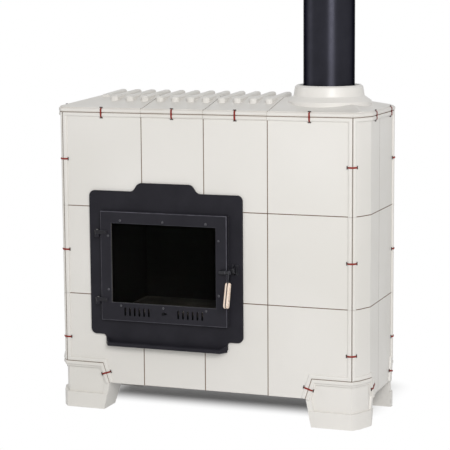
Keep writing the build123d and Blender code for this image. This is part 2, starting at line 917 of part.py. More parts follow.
def lip_form(inwards, low, high):
    """Prism on the plan of the lip, moved inwards from its cheeks and front by a wall."""
    back_half, front_half = tab_half_width - inwards, lip_front_half_width - inwards
    near = plate_y - lip_reach + inwards
    return level_prism([(insert_x - back_half, plate_y), (insert_x - front_half, near),
                        (insert_x + front_half, near), (insert_x + back_half, plate_y)], low, high)


with BuildPart() as front_plate:
    with BuildSketch(Plane.XZ.offset(-front_y)):
        half_outline = [(tab_half_width, tab_low), (tab_half_width, plate_low),
                        (plate_half_width, plate_low), (plate_half_width, plate_high),
                        (crest_half_foot, plate_high), (crest_half_top, crest_high)]
        with BuildLine():
            Polyline(*[(insert_x + x, z) for x, z in half_outline],
                     *[(insert_x - x, z) for x, z in reversed(half_outline)], close=True)
        make_face()
        fillet(nearest(both_sides(plate_half_width, plate_low)
                       + both_sides(plate_half_width, plate_high)), radius=plate_corner)
        fillet(nearest(both_sides(crest_half_foot, plate_high)
                       + both_sides(crest_half_top, crest_high)), radius=crest_sweep)
        fillet(nearest(both_sides(tab_half_width, tab_low)
                       + both_sides(tab_half_width, plate_low)), radius=tab_corner)
        with Locations((insert_x, (mouth_low + mouth_high) / 2)):
            Rectangle(2 * mouth_half_width, mouth_high - mouth_low, mode=Mode.SUBTRACT)
    extrude(amount=plate_thickness)
    add(frame_ring(insert_x, (throat_low + throat_high) / 2,
                   2 * (throat_half_width - throat_wall), throat_high - throat_low
                   - 2 * throat_wall, throat_wall, front_y, shell_y))
    add(lip_form(0.0, tab_low, tab_low + lip_cheek_height))
    add(lip_form(lip_wall, tab_low + lip_floor_height, tab_low + lip_cheek_height),
        mode=Mode.SUBTRACT)
    slope = [(plate_y - lip_reach, tab_low + lip_rim_height),
             (plate_y, tab_low + lip_cheek_height),
             (plate_y - lip_reach, tab_low + lip_cheek_height)]
    add(side_prism(slope, insert_x - tab_half_width, insert_x + tab_half_width),
        mode=Mode.SUBTRACT)
save(front_plate, "front_plate")


# ---- door -------------------------------------------------------------------------------
glass_width = 2 * glass_half_width
glass_height = glass_high - glass_low
slide_y = skin_back_y + running_gap
slide_back_y = slide_y + slide_thickness
slide_half_height = slide_height / 2
slot_places = [insert_x + side * slot_group_offset + (i - (slot_count - 1) / 2) * slot_pitch
               for side in (-1, 1) for i in range(slot_count)]
slide_half_width = (slot_group_offset + (slot_count - 1) / 2 * slot_pitch + slot_width / 2
                    + slide_margin)
screw_places = [(insert_x + x, z) for z in (glass_low - screw_offset, glass_high + screw_offset)
                for x in (-screw_spread, 0.0, screw_spread)]
screw_places += [(insert_x + side * (glass_half_width + screw_offset), glass_z + rise)
                 for side in (-1, 1) for rise in (-screw_side_rise, screw_side_rise)]
retainer_y = glass_back_y + retainer_thickness


def bars(places, near, far, radius, sides):
    """Bars with flat sides at (x, z) places, between two values of Y."""
    with BuildPart() as row:
        with BuildSketch(Plane.XZ.offset(-far)):
            with Locations(places):
                RegularPolygon(radius, sides)
        extrude(amount=far - near)
    return row.part


def slots(width, height):
    """Bevelled slots on the places of both groups, in the sketch being drawn."""
    with BuildSketch(mode=Mode.PRIVATE) as slot:
        Rectangle(width, height)
        chamfer(slot.vertices(), length=slot_end)
    return [slot.sketch.moved(Location((x, slot_z, 0))) for x in slot_places]


with BuildPart() as door_frame:
    add(block(door_left, door_right, door_y, door_back_y, door_low, door_high))
    chamfer(faces().sort_by(Axis.Y)[0].edges(), length=door_edge)
    add(block(door_left + door_rim, door_right - door_rim, skin_back_y, door_back_y,
              door_low + door_rim, door_high - door_rim), mode=Mode.SUBTRACT)
    add(block(insert_x - glass_half_width, insert_x + glass_half_width, door_y, skin_back_y,
              glass_low, glass_high), mode=Mode.SUBTRACT)
    with BuildSketch(Plane.XZ.offset(-skin_back_y)):
        add(slots(slot_width, slot_height))
        with Locations((insert_x + slide_travel / 2, slot_z)):
            Rectangle(slide_travel + 2 * (knob_stem + running_gap), 2 * (knob_stem + running_gap))
    extrude(amount=door_skin, mode=Mode.SUBTRACT)
    add(bars(screw_places, door_y, skin_back_y, screw_radius + screw_clearance, screw_sides),
        mode=Mode.SUBTRACT)
    for side in (-1, 1):
        for rise in (-1, 1):
            guide_x = insert_x + side * guide_offset
            edge = slot_z + rise * (slide_half_height + running_gap)
            outer = edge + rise * guide_thickness
            inner = edge - rise * guide_lip
            guide_back = slide_back_y + running_gap + guide_thickness
            add(block(guide_x - guide_width / 2, guide_x + guide_width / 2, skin_back_y,
                      guide_back, min(edge, outer), max(edge, outer)))
            add(block(guide_x - guide_width / 2, guide_x + guide_width / 2,
                      slide_back_y + running_gap, guide_back, min(inner, outer),
                      max(inner, outer)))
save(door_frame, "door_frame")

with BuildPart() as air_slide:
    with BuildSketch(Plane.XZ.offset(-slide_back_y)):
        with Locations((insert_x, slot_z)):
            Rectangle(2 * slide_half_width, slide_height)
        add(slots(slot_width, slot_height), mode=Mode.SUBTRACT)
    extrude(amount=slide_thickness)
    knob_back = door_y - running_gap
    add(rod((insert_x, knob_back - knob_height, slot_z), (0, 1, 0),
            slide_y - knob_back + knob_height, knob_stem))
    add(rod((insert_x, knob_back - knob_height, slot_z), (0, 1, 0), knob_height, knob_radius))
save(air_slide, "air_slide")

with BuildPart() as glass_gasket:
    add(frame_ring(insert_x, glass_z, glass_width, glass_height, glass_overlap, skin_back_y,
                   glass_y))
save(glass_gasket, "glass_gasket")

with BuildPart() as door_glass:
    add(block(insert_x - glass_half_width - glass_overlap,
              insert_x + glass_half_width + glass_overlap, glass_y, glass_back_y,
              glass_low - glass_overlap, glass_high + glass_overlap))
save(door_glass, "door_glass")

with BuildPart() as glass_retainer:
    add(frame_ring(insert_x, glass_z, glass_width, glass_height, retainer_width, glass_back_y,
                   retainer_y))
    add(bars(screw_places, glass_back_y, retainer_y, screw_radius + screw_clearance, screw_sides),
        mode=Mode.SUBTRACT)
save(glass_retainer, "glass_retainer")

with BuildPart() as glass_screws:
    add(bars(screw_places, door_y - screw_head_height, door_y, screw_head, screw_sides))
    add(bars(screw_places, door_y, retainer_y, screw_radius, screw_sides))
    add(bars(screw_places, retainer_y, retainer_y + screw_nut_height, screw_nut, nut_sides))
save(glass_screws, "glass_screws")

with BuildPart() as door_seal:
    add(frame_ring(insert_x, door_z, 2 * (door_half_width - door_rim),
                   door_high - door_low - 2 * door_rim, seal_width, door_back_y,
                   plate_y - running_gap))
save(door_seal, "door_seal")


# ---- hinges -----------------------------------------------------------------------------
eye_bore = hinge_pin_radius + hinge_clearance
strap_rise = running_gap + strap_height
with BuildPart() as hinge_straps:
    for z in hinge_heights:
        low, high = z + running_gap, z + strap_rise
        add(block(hinge_x, hinge_x + strap_reach, door_y - strap_thickness, door_y, low, high))
        add(ring(hinge_x, hinge_y, low, high, eye_bore, knuckle_radius))
        add(rod((hinge_x, hinge_y, low), (0, 0, 1), strap_height, eye_bore), mode=Mode.SUBTRACT)
    strap_y = door_y - strap_thickness
    add(bars([(hinge_x + strap_reach - strap_bolt_inset, z + running_gap + strap_height / 2)
              for z in hinge_heights], strap_y - bolt_height, strap_y, bolt_radius, screw_sides))
save(hinge_straps, "hinge_straps")

with BuildPart() as hinge_lugs:
    for z in hinge_heights:
        add(block(hinge_x - lug_thickness / 2, hinge_x + lug_thickness / 2, hinge_y, plate_y,
                  z - lug_height, z))
        add(ring(hinge_x, hinge_y, z - lug_height, z, eye_bore, knuckle_radius))
        add(rod((hinge_x, hinge_y, z - lug_height), (0, 0, 1), lug_height, eye_bore),
            mode=Mode.SUBTRACT)
save(hinge_lugs, "hinge_lugs")

with BuildPart() as hinge_pins:
    for z in hinge_heights:
        head = z + strap_rise + running_gap
        add(rod((hinge_x, hinge_y, z - lug_height), (0, 0, 1), head - z + lug_height,
                hinge_pin_radius))
        add(rod((hinge_x, hinge_y, head), (0, 0, 1), pin_head_height, pin_head))
save(hinge_pins, "hinge_pins")


# ---- latch ------------------------------------------------------------------------------
barrel_right = door_right - barrel_inset
barrel_left = barrel_right - barrel_length
lever_right = lever_x + lever_thickness
keeper_base_y = plate_y - keeper_base_thickness
nose_tip_y = keeper_base_y - nose_gap
neck = (latch_y - neck_forward, latch_z - neck_drop)
grip_end = (neck[0] - grip_forward, neck[1] - grip_drop)
rivet_places = [(neck[0] + (grip_end[0] - neck[0]) * share,
                 neck[1] + (grip_end[1] - neck[1]) * share)
                for share in (rivet_inset / grip_length, 1 - rivet_inset / grip_length)]


def tapered_bar(x_low, x_high, start, end, start_radius, end_radius):
    """Plate across X, its outline two circles joined by tangents."""
    with BuildPart() as bar:
        with BuildSketch(Plane.YZ.offset(x_low)):
            with Locations(start):
                Circle(start_radius)
            with Locations(end):
                Circle(end_radius)
            make_hull()
        extrude(amount=x_high - x_low)
    return bar.part


def cross_rods(places, x_low, x_high, radius):
    """Round bars across X at points of the side view."""
    return [rod((x_low, y, z), (1, 0, 0), x_high - x_low, radius) for y, z in places]


spindle_end = barrel_left - running_gap - lever_thickness / 2
scale_left = lever_x - grip_thickness
scale_right = lever_right + grip_thickness


def rivets(clearance):
    """Flat-sided rivets through both scales, or their holes with a clearance."""
    with BuildPart() as pair:
        with BuildSketch(Plane.YZ.offset(scale_left)):
            with Locations(rivet_places):
                RegularPolygon(rivet_radius + clearance, screw_sides)
        extrude(amount=scale_right - scale_left)
    return pair.part


with BuildPart() as latch_lever:
    add(tapered_bar(lever_x, lever_right, (latch_y, latch_z), neck, lever_hub, neck_radius))
    add(tapered_bar(lever_x, lever_right, neck, grip_end, grip_top_radius - grip_margin,
                    grip_bottom_radius - grip_margin))
    add(block(lever_x, lever_right, latch_y, nose_tip_y, latch_z + nose_top - nose_height,
              latch_z + nose_top))
    add(cross_rods([(latch_y, latch_z)], spindle_end, lever_x, spindle_radius))
    add(cross_rods([(latch_y, latch_z)], barrel_right + running_gap, lever_x, boss_radius))
    add(cross_rods([(latch_y, latch_z)], lever_right, lever_right + nut_height, nut_radius))
    add(cross_rods([(latch_y, latch_z)], spindle_end, barrel_left - running_gap,
                   spindle_radius + bolt_height))
    add(rivets(0.0))
save(latch_lever, "latch_lever")


def scale(x_low, x_high, outer):
    """Half of the grip, with a bevel round its outer face."""
    with BuildPart() as half:
        add(tapered_bar(x_low, x_high, neck, grip_end, grip_top_radius, grip_bottom_radius))
        chamfer(faces().sort_by(Axis.X)[outer].edges(), length=grip_edge)
    return half.part


with BuildPart() as grip_scales:
    add(scale(scale_left, lever_x, 0))
    add(scale(lever_right, scale_right, -1))
    add(rivets(screw_clearance), mode=Mode.SUBTRACT)
save(grip_scales, "grip_scales")

with BuildPart() as latch_barrel:
    add(block(barrel_left, barrel_right, latch_y, door_y, latch_z - barrel_radius,
              latch_z + barrel_radius))
    add(cross_rods([(latch_y, latch_z)], barrel_left, barrel_right, barrel_radius))
    add(cross_rods([(latch_y, latch_z)], barrel_left, barrel_right,
                   spindle_radius + hinge_clearance), mode=Mode.SUBTRACT)
save(latch_barrel, "latch_barrel")

keeper_left = lever_right + nut_height + keeper_gap
keeper_right = keeper_left + keeper_thickness
keeper_pin_z = latch_z + nose_top + running_gap + keeper_pin_radius
keeper_pin_y = front_y - keeper_pin_depth
keeper_middle = (keeper_left + keeper_right) / 2
with BuildPart() as latch_keeper:
    add(block(keeper_middle - keeper_base / 2, keeper_middle + keeper_base / 2, keeper_base_y,
              plate_y, keeper_pin_z - keeper_base_height / 2,
              keeper_pin_z + keeper_base_height / 2))
    gusset = [(keeper_base_y, keeper_pin_z - keeper_base_height / 2),
              (keeper_base_y, keeper_pin_z + keeper_base_height / 2),
              (plate_y - keeper_reach, keeper_pin_z + 2 * keeper_pin_radius),
              (plate_y - keeper_reach, keeper_pin_z - 2 * keeper_pin_radius)]
    add(side_prism(gusset, keeper_left, keeper_right))
    add(cross_rods([(keeper_pin_y, keeper_pin_z)], lever_x - running_gap, keeper_right,
                   keeper_pin_radius))
save(latch_keeper, "latch_keeper")


# ---- wire clips -------------------------------------------------------------------------
front_bend = math.atan2(knee_depth, knee_out)
rear_bend = math.atan2(rear_knee_in, rear_corner - rear_knee_depth)
crown = bead_height + wire_lift
clip_pin_place = (clip_reach + clip_pin_radius + wire_lift, clip_pin_radius)


def over_corner(u, v, bend):
    """Point u along a face from the seam and v above it, each face turned by half the bend."""
    half = math.copysign(bend / 2, u)
    return (u * math.cos(half) + v * math.sin(half), v * math.cos(half) - u * math.sin(half))


def clip_plane(origin, along, outwards):
    """Plane across a seam, its Y axis pointing away from the tiles."""
    return Plane(origin=origin, x_dir=Vector(*outwards).cross(Vector(*along)), z_dir=along)


def band(place, bend):
    """Wire band over the rolls on both sides of a seam."""
    half = [(clip_crown, crown), (clip_shoulder, crown), (clip_reach, crown - clip_drop)]
    under = [(-u, v) for u, v in reversed(half)] + half
    over = [(u, v + wire_thickness) for u, v in reversed(under)]
    with BuildPart() as strip:
        with BuildSketch(place.offset(-wire_width / 2)):
            with BuildLine():
                Polyline(*[over_corner(u, v, bend) for u, v in under + over], close=True)
            make_face()
        extrude(amount=wire_width)
    return strip.part


def pins(place, bend):
    """Pins that the two ends of a band are tied to."""
    u, v = clip_pin_place
    with BuildPart() as pair:
        with BuildSketch(place.offset(-clip_pin_length / 2)):
            with Locations(over_corner(u, v, bend), over_corner(-u, v, bend)):
                RegularPolygon(clip_pin_radius, clip_pin_sides)
        extrude(amount=clip_pin_length)
    return pair.part


def middle_of(points):
    """Middle of the slanted part of an outline, and the run of that part."""
    (top, z_top), (low, z_low), _ = points
    return (top + low) / 2, (z_top + z_low) / 2, low - top, z_low - z_top


clips = []
for column in range(last_column + 1):
    middle = (seams_x[column] + seams_x[column + 1]) / 2
    for y, outwards in ((front_y, -1), (back_y, 1)):
        clips.append((clip_plane((middle, y, top_seam), (1, 0, 0), (0, outwards, 0)), 0.0))

front_lean, rear_lean = front_bend / 2, rear_bend / 2
flat_x, flat_z, flat_run, flat_fall = middle_of(foot_flat_edge)
for side in (-1, 1):
    for y in (front_y + facet_depth + clip_side_inset, rear_seam_y - clip_side_inset):
        clips.append((clip_plane((side * side_x, y, top_seam), (0, 1, 0), (side, 0, 0)), 0.0))
    for low, high in zip(row_z, row_z[1:]):
        z = (low + high) / 2
        front_out = (side * math.sin(front_lean), -math.cos(front_lean), 0)
        rear_out = (side * math.cos(rear_lean), math.sin(rear_lean), 0)
        clips.append((clip_plane((side * half_width, front_y, z), (0, 0, 1), front_out),
                      front_bend))
        clips.append((clip_plane((side * side_x, rear_seam_y, z), (0, 0, 1), rear_out),
                      rear_bend))
    for y, outwards in ((front_y, -1), (back_y, 1)):
        clips.append((clip_plane((-side * flat_x, y, flat_z), (-side * flat_run, 0, flat_fall),
                                 (0, outwards, 0)), 0.0))
    for flank in (front_foot_flank, rear_foot_flank):
        y, z, run, fall = middle_of(flank)
        clips.append((clip_plane((side * side_x, y, z), (0, run, fall), (side, 0, 0)), 0.0))

with BuildPart() as clip_wires:
    add([band(place, bend) for place, bend in clips])
save(clip_wires, "clip_wires")

with BuildPart() as clip_pins:
    add([pins(place, bend) for place, bend in clips])
save(clip_pins, "clip_pins")
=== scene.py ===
import json
import logging
import math
from collections.abc import Callable, Iterable, Sequence
from dataclasses import dataclass, field
from enum import Enum
from functools import cache, cached_property
from typing import Any, Protocol

import bmesh
import bpy
from mathutils import Matrix, Vector

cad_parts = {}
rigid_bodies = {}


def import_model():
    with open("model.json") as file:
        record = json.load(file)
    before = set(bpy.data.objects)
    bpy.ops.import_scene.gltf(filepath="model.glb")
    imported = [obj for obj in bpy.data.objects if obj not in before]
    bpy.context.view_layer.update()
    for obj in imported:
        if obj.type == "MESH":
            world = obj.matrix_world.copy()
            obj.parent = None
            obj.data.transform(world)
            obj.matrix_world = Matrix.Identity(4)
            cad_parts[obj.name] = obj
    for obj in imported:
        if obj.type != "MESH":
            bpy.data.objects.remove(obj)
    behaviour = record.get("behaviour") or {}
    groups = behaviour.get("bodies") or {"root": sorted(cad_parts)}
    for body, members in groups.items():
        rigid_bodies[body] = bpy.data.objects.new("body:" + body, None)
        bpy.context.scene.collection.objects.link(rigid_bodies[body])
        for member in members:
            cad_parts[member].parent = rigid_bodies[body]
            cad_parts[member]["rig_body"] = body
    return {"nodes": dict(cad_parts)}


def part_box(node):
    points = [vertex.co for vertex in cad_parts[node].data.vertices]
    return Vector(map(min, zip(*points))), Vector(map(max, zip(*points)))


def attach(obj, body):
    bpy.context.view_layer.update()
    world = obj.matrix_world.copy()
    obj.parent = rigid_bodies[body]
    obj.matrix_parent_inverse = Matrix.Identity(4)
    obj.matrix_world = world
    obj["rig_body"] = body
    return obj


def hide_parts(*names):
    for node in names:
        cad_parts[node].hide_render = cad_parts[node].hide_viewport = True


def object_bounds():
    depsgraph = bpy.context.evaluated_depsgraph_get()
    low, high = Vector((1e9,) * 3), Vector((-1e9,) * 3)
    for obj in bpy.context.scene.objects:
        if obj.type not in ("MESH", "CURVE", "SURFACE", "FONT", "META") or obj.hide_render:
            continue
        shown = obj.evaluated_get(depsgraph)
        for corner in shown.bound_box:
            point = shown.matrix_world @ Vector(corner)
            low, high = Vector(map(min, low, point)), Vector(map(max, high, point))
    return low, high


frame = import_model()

CAD_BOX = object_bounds()
MM = 0.001
# Face attributes that the finishes read: edges, coloured partly as wear and partly as painted light,
# and the walls of holes, painted near-black as shade.
EDGE = "edge"
HOLE_SHADE = "soot_and_shade"
# Points of a CAD mesh closer than this become one, and faces flatter than this are joined.
MERGED_MM = 0.005
FLAT_DEG = 0.5
# Edges flatter than this are shaded smooth.
SMOOTH_DEG = 50.0
LOG = logging.getLogger("tiled_stove")

Point = Sequence[float]
Settings = dict[str | int, Any]
Socket = bpy.types.NodeSocket
Edge = bmesh.types.BMEdge


# ---- colours and patterns ----


def linear(hex_colour: str) -> tuple[float, float, float, float]:
    """Turns an sRGB hex colour into the linear values that a socket takes.

    Args:
        hex_colour: Six hex digits.

    Returns:
        Linear red, green and blue with an alpha of 1.
    """
    channels = [int(hex_colour[i : i + 2], 16) / 255 for i in (0, 2, 4)]
    curve = [c / 12.92 if c <= 0.04045 else ((c + 0.055) / 1.055) ** 2.4 for c in channels]
    return (curve[0], curve[1], curve[2], 1.0)


@dataclass(frozen=True)
class Patches:
    """Soft random patches of a real size, and the part of their range that is stretched."""

    size_mm: float
    detail: float = 2.0
    low: float = 0.3
    high: float = 0.7


@dataclass(frozen=True)
class Relief:
    """Soft random relief of a real size and depth."""

    size_mm: float
    detail: float
    depth_mm: float
    strength: float


class Coat:
    """A material in the making, with patterns of real sizes on Object coordinates."""

    def __init__(self, name: str, shelf: bpy.types.bpy_prop_collection | None = None) -> None:
        """Starts an empty material, or the empty surroundings.

        Args:
            name: Name of the material.
            shelf: Where it is kept; among the materials by default.
        """
        self.made = (bpy.data.materials if shelf is None else shelf).new(name)
        self.made.use_nodes = True
        self.made.node_tree.nodes.clear()

    @cached_property
    def place(self) -> Socket:
        """Object coordinates, unless a finish turns or stretches them."""
        return self.add("TexCoord", {}).outputs["Object"]

    def add(self, kind: str, settings: Settings) -> bpy.types.Node:
        """Adds a node with its properties, input values and incoming links.

        Args:
            kind: Kind of node, such as TexNoise.
            settings: Property names, input names or input numbers and what they get; an
                output socket is linked to the input.

        Returns:
            The new node.
        """
        node = self.made.node_tree.nodes.new(f"ShaderNode{kind}")
        for name, value in settings.items():
            if isinstance(value, Socket):
                self.made.node_tree.links.new(value, node.inputs[name])
            elif isinstance(name, int) or name in node.inputs:
                node.inputs[name].default_value = value
            else:
                setattr(node, name, value)
        return node

    def varied(self, patches: Patches, least: float, most: float) -> Socket:
        """A value that varies from patch to patch.

        Args:
            patches: Patches that it follows.
            least: Least value.
            most: Most value.

        Returns:
            The value socket.
        """
        grey = self.add("TexNoise", {
            "Scale": 1 / (patches.size_mm * MM), "Detail": patches.detail, "Vector": self.place})
        stretched = self.add("MapRange", {
            "Value": grey.outputs["Fac"], "From Min": patches.low, "From Max": patches.high,
            "To Min": least, "To Max": most})
        return stretched.outputs["Result"]

    def clouded(self, under: Socket | str, over: str, patches: Patches,
                most: float = 1.0) -> Socket:
        """Lays a colour over another in patches.

        Args:
            under: Lower colour, as a socket or as hex digits.
            over: Hex colour that is laid over it.
            patches: Patches that it is laid in.
            most: Strength of the upper colour inside a patch.

        Returns:
            The colour socket.
        """
        mixed = self.add("Mix", {
            "data_type": "RGBA", 0: self.varied(patches, 0.0, most),
            6: linear(under) if isinstance(under, str) else under, 7: linear(over)})
        return mixed.outputs[2]

    # The edge colour is partly wear and partly painted light: highlights along iron edges, shade in
    # the creases of the glaze.
    def edge_wear_and_light(self, under: Socket, wear_and_light_colour: str, patches: Patches, most: float) -> Socket:
        """Shows another colour along the marked edges, more in some patches than in others.

        Args:
            under: Colour of the faces.
            wear_and_light_colour: Hex colour of the edges, standing for wear and for painted light:
                highlights on iron, shade in glazed creases.
            patches: Patches of stronger wear and painted light.
            most: Strength where the wear and painted light are strongest.

        Returns:
            The colour socket.
        """
        edge = self.add("Attribute", {"attribute_name": EDGE})
        amount = self.add("Math", {
            "operation": "MULTIPLY", 0: edge.outputs["Fac"],
            1: self.varied(patches, most / 3, most)})
        mixed = self.add("Mix", {
            "data_type": "RGBA", 0: amount.outputs[0], 6: under, 7: linear(wear_and_light_colour)})
        return mixed.outputs[2]

    def raised(self, relief: Relief, below: Socket | None = None) -> Socket:
        """Raises the surface in a relief.

        Args:
            relief: Relief that is laid on the surface.
            below: Normal of a coarser relief below this one.

        Returns:
            The normal socket.
        """
        height = self.add("TexNoise", {
            "Scale": 1 / (relief.size_mm * MM), "Detail": relief.detail, "Vector": self.place})
        settings = {"Height": height.outputs["Fac"], "Strength": relief.strength,
                    "Distance": relief.depth_mm * MM}
        if below is not None:
            settings["Normal"] = below
        return self.add("Bump", settings).outputs["Normal"]

    def finished(self, shader: Settings) -> bpy.types.Material:
        """Adds the surface shader and the output.

        Args:
            shader: Inputs of the shader.

        Returns:
            The material.
        """
        surface = self.add("BsdfPrincipled", shader)
        self.add("OutputMaterial", {"Surface": surface.outputs["BSDF"]})
        return self.made


# ---- finishes ----


class Recipe(Protocol):
    """A finish that knows its material slot and can make its material."""

    slot: str

    def build(self) -> bpy.types.Material:
        """Makes the material."""


@dataclass(frozen=True)
class TinGlaze:
    """Cream tin glaze on cast fireclay, dipped and fired."""

    slot: str = "glazed_tile"
    name: str = "cream_tin_glaze_on_fireclay"
    pale: str = "E3E0DB"
    deep: str = "DDDAD4"
    # Brown of glaze run thin on the outer edges; in the creases the same brown is painted shade.
    thin_glaze_and_shade: str = "A08C74"
    speck: str = "D3CDC2"
    drift: Patches = Patches(420.0, 1.0, 0.32, 0.68)
    specks: Patches = Patches(2.5, 1.0, 0.68, 0.8)
    speck_strength: float = 0.3
    # Patches and strength of the thin glaze and of the painted crease shade.
    thinning_and_shade: Patches = Patches(90.0)
    thinned_and_shaded: float = 0.85
    wave: Relief = Relief(70.0, 0.0, 2.0, 0.06)
    # Real pinholes are a few tenths of a millimetre; these are coarser, so that they show.
    pinholes: Relief = Relief(1.8, 2.0, 0.15, 0.05)
    sheen: Patches = Patches(70.0)
    roughness: float = 0.42
    roughness_change: float = 0.06
    index: float = 1.5
    coat: float = 0.08
    coat_roughness: float = 0.2

    def build(self) -> bpy.types.Material:
        """Makes the material.

        Returns:
            The material.
        """
        glaze = Coat(self.name)
        even = glaze.clouded(self.deep, self.pale, self.drift)
        specked = glaze.clouded(even, self.speck, self.specks, self.speck_strength)
        # Outer edges take the brown of thin glaze; creases take it as painted shade.
        return glaze.finished({
            "Base Color": glaze.edge_wear_and_light(specked, self.thin_glaze_and_shade, self.thinning_and_shade, self.thinned_and_shaded),
            "Normal": glaze.raised(self.pinholes, glaze.raised(self.wave)),
            "Roughness": glaze.varied(self.sheen, self.roughness - self.roughness_change,
                                      self.roughness + self.roughness_change),
            "IOR": self.index, "Coat Weight": self.coat, "Coat Roughness": self.coat_roughness})


@dataclass(frozen=True)
class StovePaint:
    """Black metal, sprayed, dipped or coated: clouded, lighter on the edges as rubbed paint and
    painted highlight, near-black in holes as painted shade.

    The grit of sprayed paint is a few tenths of a millimetre. Here it is 2 mm or more, so
    that it shows.
    """

    slot: str
    name: str
    colour: str
    faded: str
    # Edge colour: rubbed paint and a painted highlight along the bevels.
    wear_and_light_colour: str
    grain_mm: float
    roughness: float
    relief: float = 0.3
    specular: float = 0.16
    metallic: float = 0.0
    glance: float = 1.0
    brushed: float = 0.0
    # Near-black painted shade on the walls of holes.
    soot_and_shade: str = "040405"
    clouds: Patches = Patches(90.0, 4.0, 0.35, 0.7)
    # Patches and strength of the rubbed edges with their painted highlight.
    rubbing_and_highlight: Patches = Patches(35.0)
    rubbed_and_highlit: float = 0.9
    grain_detail: float = 3.0
    grain_depth_mm: float = 0.3
    sheen: Patches = Patches(25.0)
    sheen_share: float = 0.12

    def build(self) -> bpy.types.Material:
        """Makes the material.

        Returns:
            The material.
        """
        paint = Coat(self.name)
        # The walls of holes are painted near-black, as shade.
        marked = paint.add("Attribute", {"attribute_name": HOLE_SHADE})
        hole_shaded = paint.add("Mix", {
            "data_type": "RGBA", 0: marked.outputs["Fac"], 7: linear(self.soot_and_shade),
            6: paint.clouded(self.colour, self.faded, self.clouds)})
        grain = Relief(self.grain_mm, self.grain_detail, self.grain_depth_mm, self.relief)
        # The edges take a lighter colour, partly wear and partly painted highlight.
        shader = {
            "Base Color": paint.edge_wear_and_light(hole_shaded.outputs[2], self.wear_and_light_colour, self.rubbing_and_highlight,
                                     self.rubbed_and_highlit),
            "Normal": paint.raised(grain),
            "Roughness": paint.varied(self.sheen, self.roughness * (1 - self.sheen_share),
                                      self.roughness * (1 + self.sheen_share)),
            "Metallic": self.metallic, "Specular IOR Level": self.specular,
            "Specular Tint": (self.glance, self.glance, self.glance, 1.0),
            "Anisotropic": self.brushed}
        if self.brushed > 0:
            upright = paint.add("CombineXYZ", {"Z": 1.0})
            shader["Tangent"] = upright.outputs["Vector"]
        return paint.finished(shader)


@dataclass(frozen=True)
class RawFinish:
    """An unpainted or sooty surface: two clouded colours and a relief of its own scale."""

    slot: str
    name: str
    colour: str
    second: str
    cloud_mm: float
    roughness: float
    metallic: float = 0.0
    relief: float = 0.2
    stretch: Point = (1.0, 1.0, 1.0)
    cloud_detail: float = 5.0
    relief_depth_mm: float = 0.4
    specular: float = 0.3

    def build(self) -> bpy.types.Material:
        """Makes the material.

        Returns:
            The material.
        """
        raw = Coat(self.name)
        drawn = raw.add("Mapping", {"Vector": raw.place, "Scale": self.stretch})
        raw.place = drawn.outputs["Vector"]
        relief = Relief(self.cloud_mm, self.cloud_detail, self.relief_depth_mm, self.relief)
        return raw.finished({
            "Base Color": raw.clouded(self.colour, self.second,
                                      Patches(self.cloud_mm, self.cloud_detail)),
            "Normal": raw.raised(relief), "Roughness": self.roughness,
            "Metallic": self.metallic, "Specular IOR Level": self.specular})


@dataclass(frozen=True)
class Firebrick:
    """Pressed vermiculite brick, blackened by fire in clouds, with grit and open joints."""

    slot: str
    name: str
    clean: str
    soot_and_shade: str
    lying: bool
    brick_mm: float = 230.0
    course_mm: float = 114.0
    joint_mm: float = 1.5
    joint_softness: float = 0.3
    joint_depth_mm: float = 1.0
    joint_strength: float = 0.5
    brick_strength: float = 0.6
    darker_brick: float = 0.8
    clouds: Patches = Patches(120.0, 5.0, 0.35, 0.75)
    grit: Relief = Relief(2.5, 2.0, 0.5, 0.4)
    roughness: float = 0.92
    specular: float = 0.1

    def build(self) -> bpy.types.Material:
        """Makes the material.

        Returns:
            The material.
        """
        brick = Coat(self.name)
        axes = brick.add("SeparateXYZ", {"Vector": brick.place}).outputs
        along, upwards = axes["X"], axes["Y"]
        if not self.lying:
            both = brick.add("Math", {"operation": "ADD", 0: axes["X"], 1: axes["Y"]})
            along, upwards = both.outputs[0], axes["Z"]
        face = brick.add("CombineXYZ", {"X": along, "Y": upwards})
        courses = brick.add("TexBrick", {
            "Vector": face.outputs["Vector"], "Scale": 1.0, "Brick Width": self.brick_mm * MM,
            "Row Height": self.course_mm * MM, "Mortar Size": self.joint_mm * MM,
            "Mortar Smooth": self.joint_softness, "Color1": linear("FFFFFF"),
            "Color2": (self.darker_brick, self.darker_brick, self.darker_brick, 1.0),
            "Mortar": linear("000000")}).outputs["Color"]
        shaded = brick.add("Mix", {
            "data_type": "RGBA", "blend_type": "MULTIPLY", 0: self.brick_strength,
            6: brick.clouded(self.soot_and_shade, self.clean, self.clouds), 7: courses})
        joints = brick.add("Bump", {
            "Height": courses, "Distance": self.joint_depth_mm * MM,
            "Strength": self.joint_strength})
        return brick.finished({
            "Base Color": shaded.outputs[2],
            "Normal": brick.raised(self.grit, joints.outputs["Normal"]),
            "Roughness": self.roughness, "Specular IOR Level": self.specular})


@dataclass(frozen=True)
class Ceramglass:
    """Rolled and polished glass-ceramic pane, browned by smoke.

    Its index is far below that of real glass. It is matched to the object, on which the
    pane mirrors next to nothing.
    """

    slot: str = "door_glass"
    name: str = "polished_glass_ceramic"
    tint: str = "A3A19E"
    index: float = 1.08
    haze: Patches = Patches(140.0, 3.0, 0.4, 0.75)
    clear: float = 0.01
    smoky: float = 0.09

    def build(self) -> bpy.types.Material:
        """Makes the material.

        Returns:
            The material.
        """
        pane = Coat(self.name)
        return pane.finished({
            "Base Color": linear(self.tint), "IOR": self.index, "Transmission Weight": 1.0,
            "Roughness": pane.varied(self.haze, self.clear, self.smoky)})


